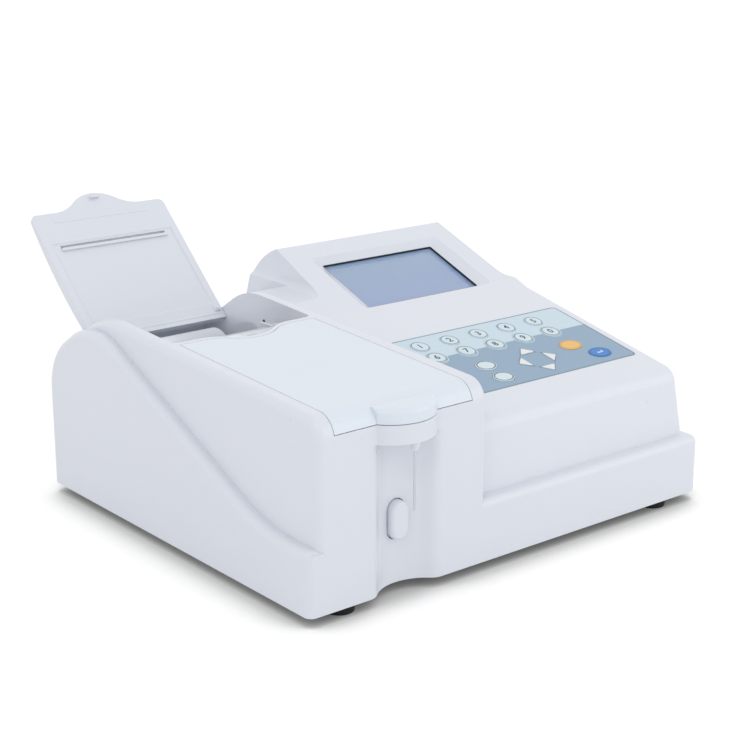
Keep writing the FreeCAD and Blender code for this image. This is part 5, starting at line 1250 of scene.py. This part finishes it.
@dataclass
class PrinterTrim:
    """Serrated tear edge and a painted shade spot for the latch hole in the printer bay; line, bevel and
    hinge lugs on its lid.
    """

    dresser: Dresser
    tooth_pitch: float = 2.0 * MM
    tooth_half: float = 0.84 * MM
    tooth_h: float = 2.4 * MM
    tooth_t: float = 0.2 * MM
    rim_level: float = 1.0 * MM
    line_rise: float = 63.5 * MM
    line_w: float = 0.8 * MM
    line_r: float = 0.36 * MM
    line_side: float = 12.0 * MM
    line_t: float = 0.25 * MM
    bevel_lap: float = 0.1 * MM
    bevel_w: float = 1.2 * MM
    bevel_outer_r: float = 0.6 * MM
    bevel_inner_r: float = 0.3 * MM
    lug_w: float = 6.0 * MM
    lug_l: float = 5.0 * MM
    lug_t: float = 2.4 * MM
    lug_r: float = 0.5 * MM
    lug_root: float = 0.2 * MM
    lug_below: float = 4.5 * MM
    lug_beside: float = 1.5 * MM
    lug_steps: tuple[tuple[str, float, float], ...] = (("foot", 1.0, 0.6), ("cap", 0.62, 1.0))
    corner_steps: int = 3
    hole_r: float = 1.7 * MM
    hole_t: float = 0.05 * MM
    hole_place: Point = (-51.0 * MM, 53.7 * MM, 141.2 * MM)

    def teeth(self) -> None:
        """Row of teeth along the tear bar's sloping front."""
        low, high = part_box("tear_bar")
        slope = facing_plane("tear_bar", (UP - BACK).normalized(), RIGHT)
        rise = high.z - low.z
        count = int((high.x - low.x) / self.tooth_pitch) - 1
        start = (low.x + high.x - (count - 1) * self.tooth_pitch) / 2
        half = self.tooth_half
        foot = -self.tooth_h / 2
        tooth = plate("tear_tooth", [(-half, foot), (half, foot), (0, foot + self.tooth_h)], 0, self.tooth_t)
        plane = slope.moved(Vector((start, low.y + rise / 2, low.z + rise / 2)))
        material = self.dresser.paint(SLOT_FINISHES["zinc_steel"])
        values = {"Count": count, "Pitch": self.tooth_pitch, "Material": material}
        piece = Repeats.run("tear_teeth", self.dresser.repeats.row, tooth, values, plane.matrix())
        self.dresser.place(piece, Body.BASE.value, "zinc_steel", None)

    def on_lid(self, piece: Object, finish: Finish) -> None:
        """Set a finished piece on the lid."""
        self.dresser.place(piece, Body.LID.value, "cover_white", self.dresser.paint(finish))

    def lid_line(self) -> None:
        """Low raised line across the lid beyond the paper slot."""
        low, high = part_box("lid_panel")
        width = high.x - low.x - 2 * self.line_side
        loop = [(u, v + self.line_rise) for u, v in rounded_box(width, self.line_w, self.line_r, 4)]
        top = self.rim_level + self.line_t
        self.on_lid(slab("lid_line", sloping_plane("lid_panel"), loop, self.rim_level, top), COVER_FINISH)

    def panel_bevel(self) -> None:
        """Sloping strip between the lid's rim and its sunk panel."""
        low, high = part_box("lid_panel")
        plane = sloping_plane("lid_panel")
        width = high.x - low.x
        length = tilted_length(low, high, plane)
        gap = 2 * self.bevel_lap
        run = gap - 2 * self.bevel_w
        outer = rounded_box(width + gap, length + gap, self.bevel_outer_r, self.corner_steps)
        inner = rounded_box(width + run, length + run, self.bevel_inner_r, self.corner_steps)
        rings = ((outer, 0.0), (outer, self.rim_level), (inner, 0.0))
        self.on_lid(tube("lid_bevel", plane, rings), HOUSING_FINISH)

    def lugs(self) -> None:
        """Lug with a stepped top at each end of the lid's hinge."""
        low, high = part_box("lid_panel")
        plane = sloping_plane("lid_panel")
        foot = -(high.z - low.z) / plane.up.z / 2 - self.lug_below
        reach = (high.x - low.x) / 2 + self.lug_beside
        base = self.rim_level - self.lug_root
        for side, way in (("left", -1), ("right", 1)):
            for step, size, rise in self.lug_steps:
                loop = rounded_box(self.lug_w * size, self.lug_l * size, self.lug_r, self.corner_steps)
                moved = [(u + way * reach, v + foot) for u, v in loop]
                top = self.rim_level + self.lug_t * rise
                self.on_lid(slab("lug_%s_%s" % (side, step), plane, moved, base, top), COVER_FINISH)

    def latch_hole(self) -> None:
        """Dark disc of painted shade where the bay's right wall has a round hole."""
        wall = Plane(Vector(self.hole_place), -BACK, UP, -RIGHT)
        # Painted shade: a flat dark disc stands in for the shaded inside of the hole.
        piece = slab("latch_hole", wall, oval(2 * self.hole_r, 2 * self.hole_r, 32), 0, self.hole_t)
        self.dresser.place(piece, Body.BASE.value, "housing_white", self.dresser.ink(Ink.RECESS))

    def dress(self) -> None:
        """Trim the printer."""
        self.teeth()
        self.lid_line()
        self.panel_bevel()
        self.lugs()
        self.latch_hole()


@dataclass
class Fittings:
    """Painted shade of the cross recesses in the base screws, and the marks on the mains switch."""

    dresser: Dresser
    cross_l: float = 2.7 * MM
    cross_w: float = 0.75 * MM
    cross_turn: float = 0.5
    mark_t: float = 0.04 * MM
    line_w: float = 0.7 * MM
    line_l: float = 3.4 * MM
    line_r: float = 0.2 * MM
    ring: Ring = Ring(1.5 * MM, 0.6 * MM, 0.08 * MM)

    def screws(self) -> None:
        """Dark cross of painted shade, standing in for the shaded cross recess, under every base screw."""
        a = self.cross_l / 2
        b = self.cross_w / 2
        arm = [(a, -b), (a, b), (b, b)]
        loop = list(arm)
        for _ in range(3):
            arm = [(-y, x) for x, y in arm]
            loop += arm
        # Painted shade: a flat dark cross stands in for the shaded screw recess.
        cross = add_object("screw_cross", plate("screw_cross", loop, -self.mark_t, 0))
        spots = bpy.data.meshes.new("screw_spots")
        boxes = islands("base_screws")
        middles = [((low.x + high.x) / 2, (low.y + high.y) / 2, low.z) for low, high in boxes]
        spots.from_pydata(middles, [], [])
        turn = (0.0, 0.0, self.cross_turn)
        values = {"Fitting": cross, "Turn": turn, "Material": self.dresser.ink(Ink.RECESS)}
        piece = Repeats.run("screw_crosses", self.dresser.repeats.spots, spots, values, Matrix.Identity(4))
        bpy.data.objects.remove(cross)
        self.dresser.place(piece, Body.BASE.value, "zinc_steel", None)

    def switch_marks(self) -> None:
        """Line and ring on the two halves of the rocker."""
        low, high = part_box("power_rocker")
        middle = (low.z + high.z) / 2
        quarter = (high.z - low.z) / 4
        upper = facing_plane("power_rocker", BACK, -RIGHT, (middle, high.z))
        lower = facing_plane("power_rocker", BACK, -RIGHT, (low.z, middle))
        loop = rounded_box(self.line_w, self.line_l, self.line_r, 3)
        line = slab("rocker_line", upper.moved(upper.at(0, quarter)), loop, 0, self.mark_t)
        self.dresser.place(line, Body.ROCKER.value, "inlet_black", self.dresser.ink(Ink.MARK))
        ring = self.dresser.ring("rocker_ring", lower.moved(lower.at(0, -quarter)), self.ring, Ink.MARK)
        self.dresser.place(ring, Body.ROCKER.value, "inlet_black", None)

    def dress(self) -> None:
        """Add every fitting."""
        self.screws()
        self.switch_marks()


@dataclass(frozen=True)
class Lamp:
    """A soft square lamp, in metres and watts."""

    name: str
    place: Point
    aim: Point
    size: float
    power: float
    spread_deg: float = 180.0
    seen: bool = True

    def hang(self) -> None:
        """Add the lamp to the scene."""
        data = bpy.data.lights.new(self.name, "AREA")
        data.size = self.size
        data.energy = self.power
        data.spread = math.radians(self.spread_deg)
        made = add_object(self.name, data)
        made.location = self.place
        made.rotation_euler = (Vector(self.aim) - Vector(self.place)).to_track_quat("-Z", "Y").to_euler()
        made.visible_camera = self.seen
        made.visible_glossy = self.seen


OBJECT_MIDDLE: Point = (0, 0, 0.1)


@dataclass
class Studio:
    """White sweep, soft lamps and the camera. The bay lamp is hidden under the lid's closed place."""

    eye: Point = (-0.829833, -1.046094, 0.498204)
    yaw_deg: float = 39.2232
    pitch_deg: float = 16.6999
    lens: float = 80.455
    sensor: float = 36.0
    world_level: float = 0.90
    floor_reach: float = 6.0
    floor_white: Colour = (0.95, 0.95, 0.95)
    floor_lift: float = 0.70
    floor_share: float = 0.4
    shadow_reach: float = 0.05
    shadow_steps: tuple[tuple[float, float], ...] = (
        (0.0, 0.08), (0.2, 0.24), (0.53, 0.55), (0.69, 0.88), (0.80, 0.97), (0.88, 1.0))
    lamps: tuple[Lamp, ...] = (
        Lamp("key", (0.3, -0.5, 2.4), OBJECT_MIDDLE, 2.4, 0.4),
        Lamp("front", (0.8, -1.1, 0.6), OBJECT_MIDDLE, 1.0, 1.8),
        Lamp("edge", (-1.1, -0.9, 1.4), OBJECT_MIDDLE, 0.22, 1.6),
        Lamp("bay", (-0.177, 0.06, 0.1425), (-0.051, 0.08, 0.122), 0.008, 0.004, 60.0, False),
    )

    def camera(self) -> None:
        """Camera at the photograph's viewing angle."""
        data = bpy.data.cameras.new("view")
        data.lens = self.lens
        data.sensor_width = self.sensor
        made = add_object("view", data)
        made.location = self.eye
        made.rotation_euler = (math.radians(90 - self.pitch_deg), 0, math.radians(-self.yaw_deg))
        bpy.context.scene.camera = made

    def world(self) -> None:
        """Even light all round, white to the camera, in reflections and through glass."""
        world = bpy.data.worlds.new("studio")
        world.use_nodes = True
        bpy.context.scene.world = world
        tree = world.node_tree
        background = tree.nodes["Background"]
        background.inputs["Color"].default_value = (1, 1, 1, 1)
        path = add_node(tree, "ShaderNodeLightPath")
        seen = add_node(tree, "ShaderNodeMath", operation="MAXIMUM")
        seen_too = add_node(tree, "ShaderNodeMath", operation="MAXIMUM")
        level = add_node(tree, "ShaderNodeMapRange", {"To Min": self.world_level, "To Max": 1.0})
        wire(
            tree,
            (path, "Is Camera Ray", seen, 0),
            (path, "Is Glossy Ray", seen, 1),
            (seen, "Value", seen_too, 0),
            (path, "Is Transmission Ray", seen_too, 1),
            (seen_too, "Value", level, "Value"),
            (level, "Result", background, "Strength"),
        )

    def floor(self) -> None:
        """Pale floor with a painted shadow of the object."""
        low = CAD_BOX[0][2]
        far = self.floor_reach
        mesh = bpy.data.meshes.new("floor")
        corners = [(-far, -far, low), (far, -far, low), (far, far, low), (-far, far, low)]
        mesh.from_pydata(corners, [], [range(4)])
        mesh.materials.append(self.floor_material())
        add_object("floor", mesh)

    def floor_material(self) -> Material:
        """White floor with a painted shadow, darker where the object stands close over it, lifted to white
        for the camera.

        Returns:
            The floor's material.
        """
        material = bpy.data.materials.new("floor_white")
        material.use_nodes = True
        tree = material.node_tree
        shader = tree.nodes["Principled BSDF"]
        shader.inputs["Roughness"].default_value = 0.9
        shader.inputs["Specular IOR Level"].default_value = 0.0
        shader.inputs["Emission Color"].default_value = (1, 1, 1, 1)
        # Painted shadow: ambient occlusion through a ramp darkens the floor's colour and its glow near the
        # object.
        near = add_node(tree, "ShaderNodeAmbientOcclusion", {"Distance": self.shadow_reach}, samples=16)
        fade = add_node(tree, "ShaderNodeValToRGB")
        fill_ramp(fade, [(place, (level, level, level)) for place, level in self.shadow_steps])
        tones = {"A": (0, 0, 0, 1), "B": (*self.floor_white, 1)}
        tone = add_node(tree, "ShaderNodeMix", tones, data_type="RGBA")
        path = add_node(tree, "ShaderNodeLightPath")
        share = add_node(tree, "ShaderNodeMath", {1: self.floor_share}, operation="MULTIPLY")
        lift = add_node(tree, "ShaderNodeMath", {1: self.floor_lift}, operation="MULTIPLY")
        glow = add_node(tree, "ShaderNodeMath", operation="MULTIPLY")
        seen = add_node(tree, "ShaderNodeMix", {"A": 1.0})
        wire(
            tree,
            (near, "AO", fade, "Fac"),
            (fade, "Color", share, 0),
            (path, "Is Camera Ray", seen, "Factor"),
            (share, "Value", seen, "B"),
            (seen, "Result", tone, "Factor"),
            (tone, "Result", shader, "Base Color"),
            (fade, "Color", lift, 0),
            (lift, "Value", glow, 0),
            (path, "Is Camera Ray", glow, 1),
            (glow, "Value", shader, "Emission Strength"),
        )
        return material

    def build(self) -> None:
        """Set up the studio."""
        self.camera()
        self.world()
        self.floor()
        for lamp in self.lamps:
            lamp.hang()
        bpy.context.scene.view_settings.view_transform = "Standard"


def main() -> None:
    """Dress the object and set up the studio."""
    logging.basicConfig(level=logging.INFO, format="%(name)s: %(message)s")
    dresser = Dresser(ShaderGroups(), Repeats())
    keypad = Keypad(dresser)
    Mouldings(dresser, pad_edge_y=keypad.edge_y()).dress()
    keypad.dress()
    Display(dresser).dress()
    PrinterTrim(dresser).dress()
    Fittings(dresser).dress()
    Studio().build()


if __name__ == "__main__":
    main()
